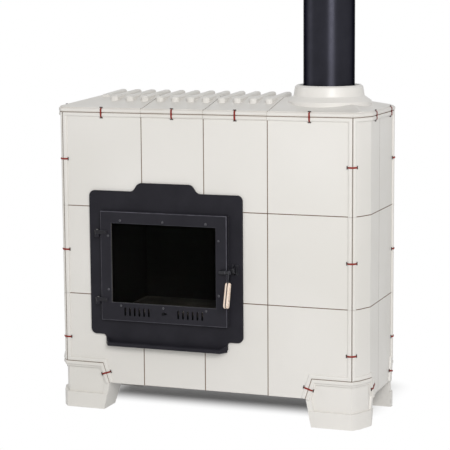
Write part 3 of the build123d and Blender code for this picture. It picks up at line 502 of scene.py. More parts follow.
@dataclass(frozen=True)
class WovenRope:
    """Woven glass-fibre rope, pressed flat."""

    slot: str = "fibre_rope"
    name: str = "woven_glass_fibre_rope"
    strand: str = "8C8A84"
    gap: str = "55524D"
    pick_mm: float = 5.0
    # The bands of a wave texture at a scale of 1 are this many metres apart.
    band_width: float = 0.3
    wander: float = 1.5
    fray: float = 2.0
    gap_below: float = 0.2
    strand_above: float = 0.7
    depth_mm: float = 0.8
    strength: float = 0.7
    roughness: float = 0.95

    def build(self) -> bpy.types.Material:
        """Makes the material.

        Returns:
            The material.
        """
        rope = Coat(self.name)
        weave = rope.add("TexWave", {
            "Vector": rope.place, "bands_direction": "DIAGONAL",
            "Scale": self.band_width / (self.pick_mm * MM), "Distortion": self.wander,
            "Detail": self.fray}).outputs["Fac"]
        amount = rope.add("MapRange", {
            "Value": weave, "From Min": self.gap_below, "From Max": self.strand_above})
        colour = rope.add("Mix", {
            "data_type": "RGBA", 0: amount.outputs["Result"], 6: linear(self.gap),
            7: linear(self.strand)})
        strands = rope.add("Bump", {
            "Height": weave, "Distance": self.depth_mm * MM, "Strength": self.strength})
        return rope.finished({"Base Color": colour.outputs[2], "Roughness": self.roughness,
                              "Normal": strands.outputs["Normal"]})


@dataclass(frozen=True)
class OiledBeech:
    """Turned and oiled beech, its grain running along the leaning grip.

    Real pores are a few tenths of a millimetre wide. The grain is coarser, so that it shows.
    """

    slot: str = "grip_wood"
    name: str = "oiled_beech"
    pale: str = "F3E5D8"
    ring: str = "DDC0A6"
    fleck: str = "BE9A7A"
    rings: Patches = Patches(1.6, 3.0, 0.35, 0.6)
    run_mm: float = 26.0
    flecks: Patches = Patches(0.8, 2.0, 0.66, 0.72)
    fleck_strength: float = 0.6
    pores: Relief = Relief(1.6, 3.0, 0.2, 0.2)
    lean: float = math.radians(16)
    roughness: float = 0.42
    specular: float = 0.4

    def build(self) -> bpy.types.Material:
        """Makes the material.

        Returns:
            The material.
        """
        wood = Coat(self.name)
        leant = wood.add("Mapping", {"Vector": wood.place, "Rotation": (-self.lean, 0.0, 0.0)})
        drawn = wood.add("Mapping", {
            "Vector": leant.outputs["Vector"],
            "Scale": (1.0, 1.0, self.rings.size_mm / self.run_mm)})
        wood.place = drawn.outputs["Vector"]
        grown = wood.clouded(self.ring, self.pale, self.rings)
        return wood.finished({
            "Base Color": wood.clouded(grown, self.fleck, self.flecks, self.fleck_strength),
            "Normal": wood.raised(self.pores), "Roughness": self.roughness,
            "Specular IOR Level": self.specular})


class Finish(Enum):
    """Every finish on the stove, with what the eye sees of it."""

    # Poured and fired glaze: milky warm white with a soft sheen, faintly wavy, browner along the
    # outer edges where it ran thin, and brown in the creases as painted shade.
    GLAZED_TILE = TinGlaze()
    # Clay slip pressed into the joints between the tiles: dull brown and gritty.
    CLAY_JOINT = RawFinish("firebrick", "pressed_clay_slip", "7A6350", "5A4637",
                           cloud_mm=4.0, roughness=0.9, relief=0.5)
    # Iron cast in sand, ground on its edges and sprayed: near-black with a trace of blue,
    # matt, with the grain of the sand under the paint.
    CAST_IRON = StovePaint("black_cast_iron", "stove_paint_on_sand_cast_iron", "1C1B21",
                           "232228", "36353B", grain_mm=2.2, roughness=0.56)
    # Door welded from iron and wiped at each firing: a little greyer, light along its edges, partly
    # rubbed paint and partly a painted highlight on the bevels.
    DOOR_IRON = StovePaint("black_cast_iron", "stove_paint_on_welded_door", "1F1E24",
                           "25242A", "66656E", grain_mm=3.0, roughness=0.5)
    # Rolled plate, cut and sprayed: darker and smoother than the casting, edges grey as rubbed paint
    # and painted highlight.
    STEEL_PLATE = StovePaint("black_steel", "stove_paint_on_rolled_steel", "18171B",
                             "1E1D22", "5C5B63", grain_mm=5.0, roughness=0.46, relief=0.12,
                             specular=0.25)
    # Forged lever, dipped in oil while hot: black with a greasy gleam, its edges light grey as
    # painted highlights.
    OIL_BLACK = StovePaint("black_steel", "oil_blackened_forged_steel", "111115", "18181D",
                           "6A6972", grain_mm=4.0, roughness=0.34, relief=0.1, specular=0.4)
    # Latch castings out of the same oil: the gleam broken by the grain of the sand, the edges light
    # grey as painted highlights.
    OILED_CASTING = StovePaint("black_cast_iron", "oil_blackened_cast_iron", "111115",
                               "18181D", "6A6972", grain_mm=2.2, roughness=0.34,
                               relief=0.15, specular=0.4)
    # Rolled strip in the smoke behind the slots: dead black.
    SOOTED_STEEL = StovePaint("bare_steel", "soot_on_rolled_steel", "08080A", "0D0D0F",
                              "2A2A2E", grain_mm=5.0, roughness=0.6, relief=0.12,
                              specular=0.1)
    # Turned screws blackened in a bath: dark heads with bright rims, painted on as glints.
    SCREW_STEEL = StovePaint("bare_steel", "bath_blackened_screw_steel", "2A2A2F", "3A3A40",
                             "A5A4AB", grain_mm=3.0, roughness=0.3, relief=0.05,
                             specular=0.6)
    # Sheet rolled to a tube, brushed along its length, with a satin metallic coat: blue-black
    # with one soft bright band from end to end.
    ENAMELLED_TUBE = StovePaint("flue_enamel", "satin_metallic_coat_on_rolled_tube", "2D2D33",
                                "313138", "45454C", grain_mm=40.0, roughness=0.38,
                                relief=0.0, specular=0.5, metallic=1.0, glance=0.35,
                                brushed=0.75)
    # Drawn and turned bar: grey and bright, with marks along its length.
    DRAWN_STEEL = RawFinish("bare_steel", "drawn_bright_steel", "6E6D6B", "8F8E8B",
                            cloud_mm=1.5, roughness=0.42, metallic=1.0, relief=0.1,
                            stretch=(1.0, 1.0, 0.05))
    # Sheet folded with its mill scale on, under soot: dull brown-black in slow clouds.
    MILL_SHEET = RawFinish("sheet_steel", "folded_mill_sheet_with_soot", "171514", "24211F",
                           cloud_mm=60.0, roughness=0.75)
    # Polished pane: clear in the middle of the clouds, hazed by smoke elsewhere.
    DOOR_GLASS = Ceramglass()
    # Flat seals: pale dull strands in a slanting weave.
    FIBRE_ROPE = WovenRope()
    # Upright bricks in the fire: dull and nearly black.
    FIREBRICK_WALL = Firebrick("firebrick", "sooted_vermiculite_brick", clean="1F1C19",
                               soot_and_shade="100F0E", lying=False)
    # Lying bricks under a dust of ash: pale grey in clouds.
    FIREBRICK_FLOOR = Firebrick("firebrick", "ash_dusted_vermiculite_brick", clean="BDB9B2",
                                soot_and_shade="7C7872", lying=True)
    # Turned wood under oil: pale and warm, with fine grain and short brown flecks.
    GRIP_WOOD = OiledBeech()
    # Annealed iron wire dipped in red oxide primer: dull brick red.
    CLIP_WIRE = RawFinish("clip_wire", "red_oxide_on_iron_wire", "962A1E", "741F16",
                          cloud_mm=5.0, roughness=0.6)
    # Wire pins blackened by heat: dull brown-black.
    CLIP_PIN = RawFinish("bare_steel", "blackened_wire_pin", "3B2A27", "241C1B",
                         cloud_mm=4.0, roughness=0.6)

    @cache
    def material(self) -> bpy.types.Material:
        """The material of the finish, made when it is first asked for."""
        recipe: Recipe = self.value
        return recipe.build()


# ---- mesh helpers ----


def node_copy(node: str) -> bmesh.types.BMesh:
    """A merged copy of the mesh of a CAD node, with its flat triangles joined into faces.

    Args:
        node: Name of the CAD node.

    Returns:
        The copy, to be changed and then turned into a piece.
    """
    copy = bmesh.new()
    copy.from_mesh(frame["nodes"][node].data)
    bmesh.ops.remove_doubles(copy, verts=copy.verts, dist=MERGED_MM * MM)
    bmesh.ops.dissolve_limit(copy, angle_limit=math.radians(FLAT_DEG), verts=copy.verts,
                             edges=copy.edges)
    return copy


def round_edges(mesh: bmesh.types.BMesh, width_mm: float, steps: int, sharper_than: float,
                wear_and_light: float, keep: Callable[[Edge], bool]) -> None:
    """Bevels sharp edges of a mesh and marks the new faces as edges.

    Args:
        mesh: Mesh that is changed.
        width_mm: Width of the bevel.
        steps: Steps across the bevel.
        sharper_than: Smallest angle between faces that counts as an edge, in degrees.
        wear_and_light: Mark given to the new faces, from 0 to 1; it sets how much edge colour they
            take, which is wear and thin glaze on outer edges, painted shade in glazed creases and
            painted highlight on iron bevels.
        keep: Test that picks the edges to round.
    """
    limit = math.radians(sharper_than)
    edges = [edge for edge in mesh.edges
             if len(edge.link_faces) == 2 and edge.calc_face_angle(0.0) > limit and keep(edge)]
    layer = mesh.faces.layers.float.get(EDGE) or mesh.faces.layers.float.new(EDGE)
    rounded = bmesh.ops.bevel(mesh, geom=edges, offset=width_mm * MM, offset_type="OFFSET",
                              segments=steps, profile=0.5, affect="EDGES", clamp_overlap=True,
                              material=-1)
    for face in rounded["faces"]:
        face[layer] = wear_and_light
    # A bevel gives its faces a new order each run; sorted, they are the same every run.
    mesh.verts.index_update()
    order = sorted(mesh.faces, key=lambda face: [vert.index for vert in face.verts])
    mesh.faces.sort(key={face: rank for rank, face in enumerate(order)}.get)


def mark_slanted(mesh: bmesh.types.BMesh, least: float = 0.3, most: float = 0.95) -> None:
    """Marks the bevels that a mesh already has round its front as edges, so that they take the edge
    colour as a painted highlight.

    Args:
        mesh: Mesh that is changed.
        least: Smallest share of the front's direction in that of a bevel.
        most: Largest share of it.
    """
    layer = mesh.faces.layers.float[EDGE]
    for face in mesh.faces:
        if least < abs(face.normal.y) < most:
            face[layer] = 1.0


def mark_hole_shade(mesh: bmesh.types.BMesh, largest_mm: float = 90.0, share: float = 0.3) -> None:
    """Marks the walls of small holes through an upright plate for painted shade, which shows them
    near-black as if in shadow.

    Args:
        mesh: Mesh that is changed; its plate faces the front.
        largest_mm: Largest way round such a wall.
        share: Largest share of the front's direction in that of a wall.
    """
    layer = mesh.faces.layers.float.new(HOLE_SHADE)
    for face in mesh.faces:
        if abs(face.normal.y) < share and face.calc_perimeter() < largest_mm * MM:
            face[layer] = 1.0


def widen_islands(mesh: bmesh.types.BMesh, factor: float) -> None:
    """Widens each separate prism of a mesh along the normal of its many-sided end faces.

    Args:
        mesh: Mesh that is changed.
        factor: New width over old width.
    """
    done: set[bmesh.types.BMVert] = set()
    for end in sorted(mesh.faces, key=lambda face: -len(face.verts)):
        if done.intersection(end.verts):
            continue
        island, fresh = set(end.verts), list(end.verts)
        while fresh:
            fresh = [edge.other_vert(vert) for vert in fresh for edge in vert.link_edges]
            fresh = [vert for vert in set(fresh) if vert not in island]
            island.update(fresh)
        sums = [math.fsum(axis) for axis in zip(*(vert.co for vert in island))]
        centre = Vector(sums) / len(island)
        normal = end.normal.copy()
        for vert in island:
            vert.co += normal * (vert.co - centre).dot(normal) * (factor - 1)
        done |= island


def add_bar(mesh: bmesh.types.BMesh, start: Vector, end: Vector, outwards: Vector,
            width: float, near: float, far: float) -> None:
    """Adds a closed bar of rectangular section.

    Args:
        mesh: Mesh that the bar goes into.
        start: Start of its centre line, in metres.
        end: End of its centre line.
        outwards: Direction out of the wall.
        width: Width across the centre line and the outward direction.
        near: Depth of its outer face below the centre line.
        far: Depth of its inner face.
    """
    along = end - start
    across = outwards.cross(along).normalized() * width
    shape = Matrix((along, across, outwards * (far - near))).transposed().to_4x4()
    middle = (start + end) / 2 - outwards * (near + far) / 2
    bmesh.ops.create_cube(mesh, size=1.0, matrix=Matrix.Translation(middle) @ shape)


def body_of(node: str) -> str:
    """The CAD body that a node belongs to."""
    return frame["nodes"][node]["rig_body"]


def make_piece(name: str, mesh: bmesh.types.BMesh, body: str, finish: Finish,
               replaced: Iterable[str] = ()) -> None:
    """Turns a mesh into a dressed piece that rides on a body.

    Args:
        name: Name of the piece.
        mesh: Finished mesh; it is freed.
        body: CAD body that carries the piece.
        finish: Finish of the piece.
        replaced: CAD nodes that the piece stands for.
    """
    for face in mesh.faces:
        face.smooth = True
    for edge in mesh.edges:
        edge.smooth = edge.calc_face_angle(math.pi) < math.radians(SMOOTH_DEG)
    data = bpy.data.meshes.new(name)
    mesh.to_mesh(data)
    mesh.free()
    piece = bpy.data.objects.new(name, data)
    bpy.context.scene.collection.objects.link(piece)
    data.materials.append(finish.material())
    shading = piece.modifiers.new("flat_faces", "WEIGHTED_NORMAL")
    shading.keep_sharp = True
    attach(piece, body)
    if replaced:
        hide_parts(*replaced)
    LOG.info("%s: %d faces on %s", name, len(data.polygons), body)


def dress_node(node: str, finish: Finish) -> None:
    """Gives a CAD node its material as it is.

    Args:
        node: Name of the CAD node.
        finish: Finish of the node.
    """
    data = frame["nodes"][node].data
    data.materials.clear()
    data.materials.append(finish.material())
    LOG.info("%s: %d faces on %s", node, len(data.polygons), body_of(node))


# ---- sub-assemblies -----------------------------------------------------------------------


@dataclass
class Glazing:
    """Wall tiles, top plates and feet, their rolls, ribs and edges rounded by the glaze."""

    walls: tuple[str, ...] = ("front_tile", "side_tile", "back_tiles", "foot_")
    plates: str = "top_plate"
    feet: str = "foot_"
    steps: int = 3
    edge_mm: float = 1.8
    edge_angle: float = 20.0
    edge_wear: float = 0.25
    rib_edge_mm: float = 2.6
    rib_least_mm: float = 5.5
    rib_angle: float = 22.0
    crease_mm: float = 2.4
    # Strength of the brown painted shade in concave creases, weaker on the feet.
    crease_shade: float = 1.0
    foot_crease_shade: float = 0.35
    flare_mm: float = 10.0
    flare_steps: int = 6
    flare_angle: float = 15.0
    # Height over the seam and radius of the round edges where the collar meets the roof.
    flare_rings_mm: tuple[tuple[float, float], ...] = ((62.4, 127.0), (44.4, 152.0))
    flare_near_mm: float = 1.0
    rim_mm: float = 22.0
    joint_near_mm: float = 0.01
    # Height of the seam under the top plates, and the middle of the collar in plan.
    seam: float = field(default_factory=lambda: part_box("front_tile_top_2")[1][2])
    axis: Vector = field(default_factory=lambda: (sum(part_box("flue_pipe"), Vector()) / 2).xy)

    def on_relief(self, edge: Edge, ends: Sequence[Vector]) -> bool:
        """Tells the edges of ribs and collar: above the rim of the roof and off its joints.

        Args:
            edge: Edge of a node.
            ends: Corners of the box round the node.

        Returns:
            True on ribs and collar.
        """
        at_joint = any(all(abs(vert.co.x - corner.x) < self.joint_near_mm * MM
                           for vert in edge.verts) for corner in ends)
        lowest = min(vert.co.z for vert in edge.verts)
        return lowest > self.seam + self.rim_mm * MM and not at_joint

    def on_flare(self, edge: Edge) -> bool:
        """Tells the two round edges where the collar spreads onto the roof.

        Args:
            edge: Edge of a top plate.

        Returns:
            True on both round edges.
        """
        rises = [(vert.co.z - self.seam) / MM for vert in edge.verts]
        reach = [(vert.co.xy - self.axis).length / MM for vert in edge.verts]
        return any(all(abs(rise - level) < self.flare_near_mm for rise in rises)
                   and all(abs(out - radius) < self.flare_near_mm for out in reach)
                   for level, radius in self.flare_rings_mm)

    def build(self) -> None:
        """Makes a rounded copy of every glazed node."""
        for node in sorted(frame["nodes"]):
            if node.startswith((self.plates, *self.walls)):
                self.glaze(node)

    def glaze(self, node: str) -> None:
        """Makes the rounded copy of one node.

        Args:
            node: Name of the node.
        """
        mesh, ends = node_copy(node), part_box(node)
        if node.startswith(self.plates):
            round_edges(mesh, self.flare_mm, self.flare_steps, self.flare_angle, 0.0,
                        self.on_flare)
            round_edges(mesh, self.rib_edge_mm, self.steps, self.rib_angle, 0.0,
                        lambda edge: edge.is_convex and self.on_relief(edge, ends)
                        and edge.calc_length() > self.rib_least_mm * MM)
        round_edges(mesh, self.edge_mm, self.steps, self.edge_angle, self.edge_wear,
                    lambda edge: edge.is_convex and not self.on_relief(edge, ends))
        # Concave creases are painted brown, as shade.
        wear_and_light = self.foot_crease_shade if node.startswith(self.feet) else self.crease_shade
        round_edges(mesh, self.crease_mm, self.steps, self.edge_angle, wear_and_light,
                    lambda edge: not edge.is_convex and not self.on_relief(edge, ends))
        make_piece(f"glazed_{node}", mesh, body_of(node), Finish.GLAZED_TILE, [node])


@dataclass
class ClayJoints:
    """Clay strips in every joint of the tiles: flush with them, or between two rolls."""

    width_mm: float = 3.1
    corner_width_mm: float = 1.1
    flush_mm: float = 0.06
    roll_lift_mm: float = 3.1
    corner_lift_mm: float = 2.6
    depth_mm: float = 4.0
    half_joint_mm: float = 0.4
    knee_mm: tuple[float, float] = (20.0, 24.0)
    facet_mm: float = 81.0
    rear_knee_mm: tuple[float, float] = (20.0, 15.0)
    rear_corner_mm: float = 48.0
    foot_top_mm: float = 146.0
    foot_seam_mm: float = 170.0
    flank_top_mm: float = 92.0
    flank_seam_mm: float = 130.0
    rear_flank_top_mm: float = 15.0
    rear_flank_seam_mm: float = 32.0
    # Way back from the front face and rise over the top seam, up to the ridge.
    roof_mm: tuple[tuple[float, float], ...] = ((0.0, 0.0), (0.0, 18.0), (14.0, 18.0),
                                                (185.0, 53.0))
    mesh: bmesh.types.BMesh = field(default_factory=bmesh.new)

    def run(self, points: Sequence[Point], lift_mm: float) -> None:
        """Adds bars along a line on the outside of the body, on its right and left halves.

        Args:
            points: Points of the line, anticlockwise from above or up a wall.
            lift_mm: Height of the strip over the face.
        """
        for start, end in zip(map(Vector, points), map(Vector, points[1:])):
            along = end - start
            out = Vector((along.y, -along.x, 0)).normalized()
            self.bar(start, end, out, lift_mm, self.width_mm)

    def bar(self, start: Vector, end: Vector, out: Vector, lift_mm: float,
            width_mm: float) -> None:
        """Adds one bar and its mirror image.

        Args:
            start: Start of the bar on the right half.
            end: End of the bar.
            out: Direction out of the wall.
            lift_mm: Height of the strip over the face.
            width_mm: Width of the strip.
        """
        for hand in (Vector((1, 1, 1)), Vector((-1, 1, 1))):
            add_bar(self.mesh, start * hand, end * hand, out * hand, width_mm * MM,
                    -lift_mm * MM, (self.depth_mm - lift_mm) * MM)

    def front(self, levels: Sequence[float], columns: Sequence[float], face: float) -> None:
        """Adds the plain joints of the front, left open round the insert.

        Args:
            levels: Heights of the lower edge, the two level joints and the top seam.
            columns: Places of the upright joints and both corner seams.
            face: Place of the front face.
        """
        hole_x = (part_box("front_tile_middle_1")[1][0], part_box("front_tile_middle_3")[0][0])
        hole_z = (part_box("front_tile_bottom_2")[1][2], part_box("front_tile_top_2")[0][2])
        bars = []
        for x in columns[1:-1]:
            spans = [(levels[0], levels[-1])]
            if hole_x[0] < x < hole_x[1]:
                spans = [(levels[0], hole_z[0]), (hole_z[1], levels[-1])]
            bars += [((x, face, low), (x, face, high)) for low, high in spans]
        for z in levels[1:-1]:
            bars += [((columns[0], face, z), (hole_x[0], face, z)),
                     ((hole_x[1], face, z), (columns[-1], face, z))]
        for start, end in bars:
            add_bar(self.mesh, Vector(start), Vector(end), Vector((0, -1, 0)),
                    self.width_mm * MM, -self.flush_mm * MM, self.depth_mm * MM)

    def build(self) -> None:
        """Makes the strips in every joint."""
        gap = self.half_joint_mm * MM
        face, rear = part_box("front_tile_bottom_2")[0][1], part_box("back_tiles_middle")[1][1]
        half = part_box("front_tile_top_4")[1][0] + gap
        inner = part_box("front_tile_top_4")[0][0] - gap
        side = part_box("side_tile_right_front_middle")[1][0]
        levels = [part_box("front_tile_bottom_2")[0][2]]
        levels += [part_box(f"front_tile_{row}_1")[1][2] + gap for row in ("bottom", "middle", "top")]
        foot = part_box("foot_front_right")[1][2] + gap
        knee = (half + self.knee_mm[0] * MM, face + self.knee_mm[1] * MM)
        facet = (side, face + self.facet_mm * MM)
        corner = (side, rear - self.rear_corner_mm * MM)
        rear_knee = (side - self.rear_knee_mm[0] * MM, rear - self.rear_knee_mm[1] * MM)
        plan = [(half, face), knee, facet, corner, rear_knee, (half, rear), (0.0, rear)]

        self.front(levels, (-half, -inner, 0.0, inner, half), face)
        for z in levels[1:-1]:
            self.run([(*point, z) for point in plan], self.flush_mm)
        self.run([(*point, levels[-1]) for point in [(0.0, face), *plan]], self.roll_lift_mm)
        self.uprights(plan, inner, (levels[0], foot, levels[-1]))
        self.foot_joints(plan, levels[0], foot)
        self.roof((inner, 0.0), levels[-1], face, rear)
        make_piece("clay_joints", self.mesh, body_of("front_plate"), Finish.CLAY_JOINT)

    def uprights(self, plan: Sequence[Point], inner: float, levels: Point) -> None:
        """Adds the upright joints of the side and the back, and both corner seams.

        Args:
            plan: Plan points of the right half from the front corner seam.
            inner: Place of the outer upright joint of the back.
            levels: Heights of the lower edge, the joint over the feet and the top seam.
        """
        (half, face), knee, _, corner, rear_knee, (_, rear), _ = plan
        middle = (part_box("side_tile_right_front_middle")[1][1]
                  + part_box("side_tile_right_rear_middle")[0][1]) / 2
        knee_out = Vector((knee[1] - face, half - knee[0], 0)).normalized()
        rear_out = Vector((rear_knee[1] - corner[1], corner[0] - rear_knee[0], 0)).normalized()
        right, back = Vector((1, 0, 0)), Vector((0, 1, 0))
        low, foot, top = levels
        flush, lifted = self.flush_mm, self.corner_lift_mm
        narrow, wide = self.corner_width_mm, self.width_mm
        for x, y, out, start, lift_mm, width_mm in (
                (corner[0], middle, right, low, flush, narrow),
                (half, face, (knee_out - back).normalized(), foot, lifted, narrow),
                (*corner, (rear_out + right).normalized(), foot, lifted, narrow),
                (inner, rear, back, low, flush, wide),
                (0.0, rear, back, low, flush, wide)):
            self.bar(Vector((x, y, start)), Vector((x, y, top)), out, lift_mm, width_mm)

    def foot_joints(self, plan: Sequence[Point], low: float, high: float) -> None:
        """Adds the joints over the feet and down their slanted edges.

        Args:
            plan: Plan points of the right half from the front corner seam.
            low: Height of the lower edge of the walls.
            high: Height of the joint over the feet.
        """
        (half, face), knee, facet, corner, rear_knee, (_, rear), _ = plan
        top_x, seam_x = half - self.foot_top_mm * MM, half - self.foot_seam_mm * MM
        flank = [(facet[0], face + self.flank_top_mm * MM, high),
                 (facet[0], face + self.flank_seam_mm * MM, low)]
        rear_flank = [(corner[0], corner[1] - self.rear_flank_seam_mm * MM, low),
                      (corner[0], corner[1] - self.rear_flank_top_mm * MM, high)]
        self.run([(seam_x, face, low), (top_x, face, high)], self.roll_lift_mm)
        self.run([(top_x, rear, high), (seam_x, rear, low)], self.roll_lift_mm)
        self.run([(top_x, face, high), (half, face, high), (*knee, high), (*facet, high), *flank],
                 self.roll_lift_mm)
        self.run([*rear_flank, (*corner, high), (*rear_knee, high), (half, rear, high),
                  (top_x, rear, high)], self.roll_lift_mm)

    def roof(self, joints: Sequence[float], seam: float, face: float, rear: float) -> None:
        """Adds the joints between the top plates, up one slope and down the other.

        Args:
            joints: Places of the joints on the right half.
            seam: Height of the top seam.
            face: Place of the front face.
            rear: Place of the rear face.
        """
        slope = [(face + y * MM, seam + z * MM) for y, z in self.roof_mm]
        slope += [(face + rear - y, z) for y, z in reversed(slope)]
        for x in joints:
            line = [Vector((x, y, z)) for y, z in slope]
            for start, end in zip(line, line[1:]):
                out = Vector((0, start.z - end.z, end.y - start.y)).normalized()
                self.bar(start, end, out, self.flush_mm, self.corner_width_mm)


@dataclass(frozen=True)
class Rounding:
    """How the edges of one node are softened, and its finish."""

    node: str
    finish: Finish
    width_mm: float
    steps: int = 2
    widened: float = 1.0
    slanted: bool = False
    longer_than_mm: float = 0.0
    # Strength of the edge colour, which is rubbed paint and painted highlight.
    wear_and_light: float = 1.0


@dataclass
class Ironwork:
    """Insert, door, hinges, latch and small metal pieces, with their edges softened."""

    sharper_than: float = 25.0
    pieces: tuple[Rounding, ...] = (
        Rounding("front_plate", Finish.CAST_IRON, 1.2, 3),
        Rounding("door_frame", Finish.DOOR_IRON, 0.8, slanted=True, longer_than_mm=150.0,
                 wear_and_light=0.3),
        Rounding("hinge_lugs", Finish.CAST_IRON, 0.8),
        Rounding("hinge_straps", Finish.STEEL_PLATE, 0.8),
        Rounding("latch_barrel", Finish.OILED_CASTING, 0.8),
        Rounding("latch_keeper", Finish.OILED_CASTING, 1.0),
        Rounding("latch_lever", Finish.OIL_BLACK, 0.7),
        Rounding("air_slide", Finish.SOOTED_STEEL, 0.4, wear_and_light=0.0),
        Rounding("hinge_pins", Finish.DRAWN_STEEL, 0.6),
        Rounding("glass_screws", Finish.SCREW_STEEL, 0.8),
        Rounding("glass_retainer", Finish.SOOTED_STEEL, 0.5),
        Rounding("flue_pipe", Finish.ENAMELLED_TUBE, 0.5),
        Rounding("pipe_ring", Finish.ENAMELLED_TUBE, 1.0),
        Rounding("grip_scales", Finish.GRIP_WOOD, 1.6, 3),
        # Wires of the true width are finer than a pixel, so they are drawn wider.
        Rounding("clip_wires", Finish.CLIP_WIRE, 0.6, widened=2.3),
        Rounding("clip_pins", Finish.CLIP_PIN, 0.5),
    )

    def build(self) -> None:
        """Makes a softened copy of every listed node."""
        for each in self.pieces:
            mesh = node_copy(each.node)
            if each.widened > 1:
                widen_islands(mesh, each.widened)
            least = each.longer_than_mm * MM
            round_edges(mesh, each.width_mm, each.steps, self.sharper_than, each.wear_and_light,
                        lambda edge, least=least: edge.calc_length() >= least)
            if each.slanted:
                # The chamfers get the lighter edge colour as a painted highlight.
                mark_slanted(mesh)
                # The walls of the slots get painted shade.
                mark_hole_shade(mesh)
            make_piece(f"dressed_{each.node}", mesh, body_of(each.node), each.finish,
                       [each.node])


@dataclass
class PlainNodes:
    """CAD nodes that only get their finish."""

    finishes: dict[Finish, tuple[str, ...]] = field(default_factory=lambda: {
        Finish.MILL_SHEET: ("firebox_shell", "smoke_chamber", "stand_legs", "base_plate",
                            "baffle_plate"),
        Finish.DOOR_GLASS: ("door_glass",),
        Finish.FIBRE_ROPE: ("glass_gasket", "door_seal"),
        Finish.FIREBRICK_FLOOR: ("firebrick_floor",),
        Finish.FIREBRICK_WALL: ("firebrick_walls",),
    })

    def build(self) -> None:
        """Gives every listed node its finish."""
        for finish, nodes in self.finishes.items():
            for node in nodes:
                dress_node(node, finish)


# ---- surroundings ----


@dataclass(frozen=True)
class Lamp:
    """A square soft lamp."""

    name: str
    place: Point
    target: Point
    size: float
    power: float

    def build(self) -> None:
        """Adds the lamp to the scene."""
        data = bpy.data.lights.new(self.name, "AREA")
        data.size = self.size
        data.energy = self.power
        lamp = bpy.data.objects.new(self.name, data)
        lamp.location = self.place
        aim = Vector(self.target) - Vector(self.place)
        lamp.rotation_euler = aim.to_track_quat("-Z", "Y").to_euler()
        bpy.context.scene.collection.objects.link(lamp)


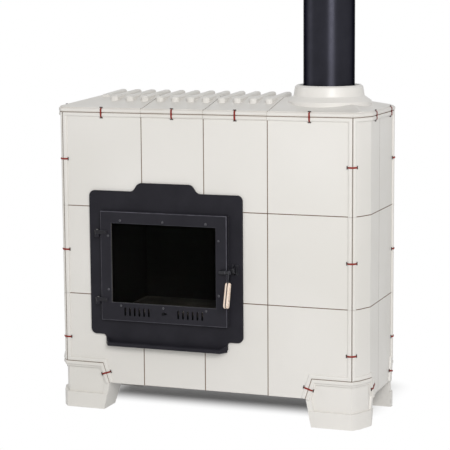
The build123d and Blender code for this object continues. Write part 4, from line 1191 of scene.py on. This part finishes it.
@dataclass
class Studio:
    """Pale floor, white surroundings, soft lamps and the camera."""

    floor_half: float = 12.0
    floor_colour: str = "F2F2F2"
    white: str = "FFFFFF"
    # Light added in the stove's shadow, how far it fades out, and where its core ends.
    shadow_lift: float = 0.05
    shadow_reach: float = 0.18
    shadow_from_side: float = 0.17
    shadow_from_back: float = 0.15
    shadow_past_back: float = 0.2
    world_strength: float = 0.41
    camera_place: tuple[float, float, float] = (2.1039, -5.4852, 1.5597)
    camera_turn: float = 0.3535
    camera_pitch: float = 0.1439
    camera_roll: float = -0.0069
    focal_px: float = 1658.4
    frame_px: float = 450.0
    sensor_mm: float = 36.0
    lamps: tuple[Lamp, ...] = (
        Lamp("key_lamp", (3.0, -5.15, 3.1), (0.0, 0.0, 0.6), 2.2, 225.0),
        Lamp("fill_lamp", (-4.5, -1.0, 2.2), (0.0, 0.0, 0.6), 2.4, 30.0),
    )

    def past_shadow(self, ground: Coat) -> Socket:
        """How far a place on the floor lies past the stove's shadow.

        Args:
            ground: Material of the floor.

        Returns:
            The value socket, 0 in the shadow and 1 past it.
        """
        low, high = CAD_BOX
        spans = (("X", low.x + self.shadow_from_side, high.x - self.shadow_from_side),
                 ("Y", high.y - self.shadow_from_back, high.y + self.shadow_past_back))
        axes = ground.add("SeparateXYZ", {"Vector": ground.place}).outputs
        beyond = {}
        for axis, least, most in spans:
            moved = ground.add("Math", {
                "operation": "SUBTRACT", 0: axes[axis], 1: (least + most) / 2})
            size = ground.add("Math", {"operation": "ABSOLUTE", 0: moved.outputs[0]})
            beyond[axis] = ground.add("Math", {
                "operation": "SUBTRACT", "use_clamp": True, 0: size.outputs[0],
                1: (most - least) / 2}).outputs[0]
        way = ground.add("CombineXYZ", beyond)
        length = ground.add("VectorMath", {"operation": "LENGTH", 0: way.outputs["Vector"]})
        away = ground.add("MapRange", {
            "interpolation_type": "SMOOTHSTEP", "Value": length.outputs["Value"],
            "From Min": 0.0, "From Max": self.shadow_reach})
        return away.outputs["Result"]

    def floor(self) -> None:
        """Makes the floor: lit under the stove, where the camera sees its shadow, else white."""
        ground = Coat("studio_floor")
        lit = ground.add("BsdfDiffuse", {"Color": linear(self.floor_colour)})
        lift = ground.add("Emission", {"Strength": self.shadow_lift})
        near = ground.add("AddShader", {0: lit.outputs[0], 1: lift.outputs[0]})
        white = ground.add("Emission", {"Strength": 1.0})
        shown = ground.add("MixShader", {
            0: self.past_shadow(ground), 1: near.outputs[0], 2: white.outputs[0]})
        path = ground.add("LightPath", {}).outputs
        mirrored = ground.add("Math", {
            "operation": "MAXIMUM", 0: path["Is Glossy Ray"], 1: path["Is Transmission Ray"]})
        seen = ground.add("MixShader", {
            0: path["Is Camera Ray"], 1: lit.outputs[0], 2: shown.outputs[0]})
        surface = ground.add("MixShader", {
            0: mirrored.outputs[0], 1: seen.outputs[0], 2: white.outputs[0]})
        ground.add("OutputMaterial", {"Surface": surface.outputs[0]})
        mesh = bmesh.new()
        bmesh.ops.create_grid(mesh, x_segments=1, y_segments=1, size=self.floor_half)
        data = bpy.data.meshes.new("floor")
        mesh.to_mesh(data)
        mesh.free()
        data.materials.append(ground.made)
        floor = bpy.data.objects.new("floor", data)
        bpy.context.scene.collection.objects.link(floor)

    def world(self) -> None:
        """Makes the surroundings: white where they are seen, softer as a light."""
        sky = Coat("studio", bpy.data.worlds)
        bpy.context.scene.world = sky.made
        path = sky.add("LightPath", {}).outputs
        first = sky.add("Math", {
            "operation": "MAXIMUM", 0: path["Is Camera Ray"], 1: path["Is Glossy Ray"]})
        seen = sky.add("Math", {
            "operation": "MAXIMUM", 0: first.outputs[0], 1: path["Is Transmission Ray"]})
        light = sky.add("Background", {
            "Color": linear(self.white), "Strength": self.world_strength})
        plain = sky.add("Background", {"Color": linear(self.white), "Strength": 1.0})
        mixed = sky.add("MixShader", {
            0: seen.outputs[0], 1: light.outputs[0], 2: plain.outputs[0]})
        sky.add("OutputWorld", {"Surface": mixed.outputs[0]})

    def camera(self) -> None:
        """Places the camera as fitted to the joints of the tiles."""
        turn, pitch, roll = self.camera_turn, self.camera_pitch, self.camera_roll
        ahead = Vector((-math.sin(turn) * math.cos(pitch), math.cos(turn) * math.cos(pitch),
                        -math.sin(pitch)))
        right = Vector((math.cos(turn), math.sin(turn), 0.0))
        above = right.cross(ahead)
        rolled_right = right * math.cos(roll) + above * math.sin(roll)
        rolled_above = above * math.cos(roll) - right * math.sin(roll)
        data = bpy.data.cameras.new("camera")
        data.sensor_width = self.sensor_mm
        data.lens = self.focal_px * self.sensor_mm / self.frame_px
        camera = bpy.data.objects.new("camera", data)
        axes = Matrix((rolled_right, rolled_above, -ahead)).transposed().to_4x4()
        front = Vector((0.0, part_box("front_tile_bottom_2")[0][1], 0.0))
        camera.matrix_world = Matrix.Translation(Vector(self.camera_place) + front) @ axes
        bpy.context.scene.collection.objects.link(camera)
        bpy.context.scene.camera = camera

    def build(self) -> None:
        """Sets up the whole studio."""
        self.floor()
        self.world()
        self.camera()
        for lamp in self.lamps:
            lamp.build()
        bpy.context.scene.view_settings.view_transform = "Standard"


def main() -> None:
    """Builds the stove and the studio in order."""
    logging.basicConfig(level=logging.INFO, format="%(name)s %(message)s")
    for part in (Glazing(), ClayJoints(), Ironwork(), PlainNodes(), Studio()):
        part.build()
    bpy.context.view_layer.update()


if __name__ == "__main__":
    main()
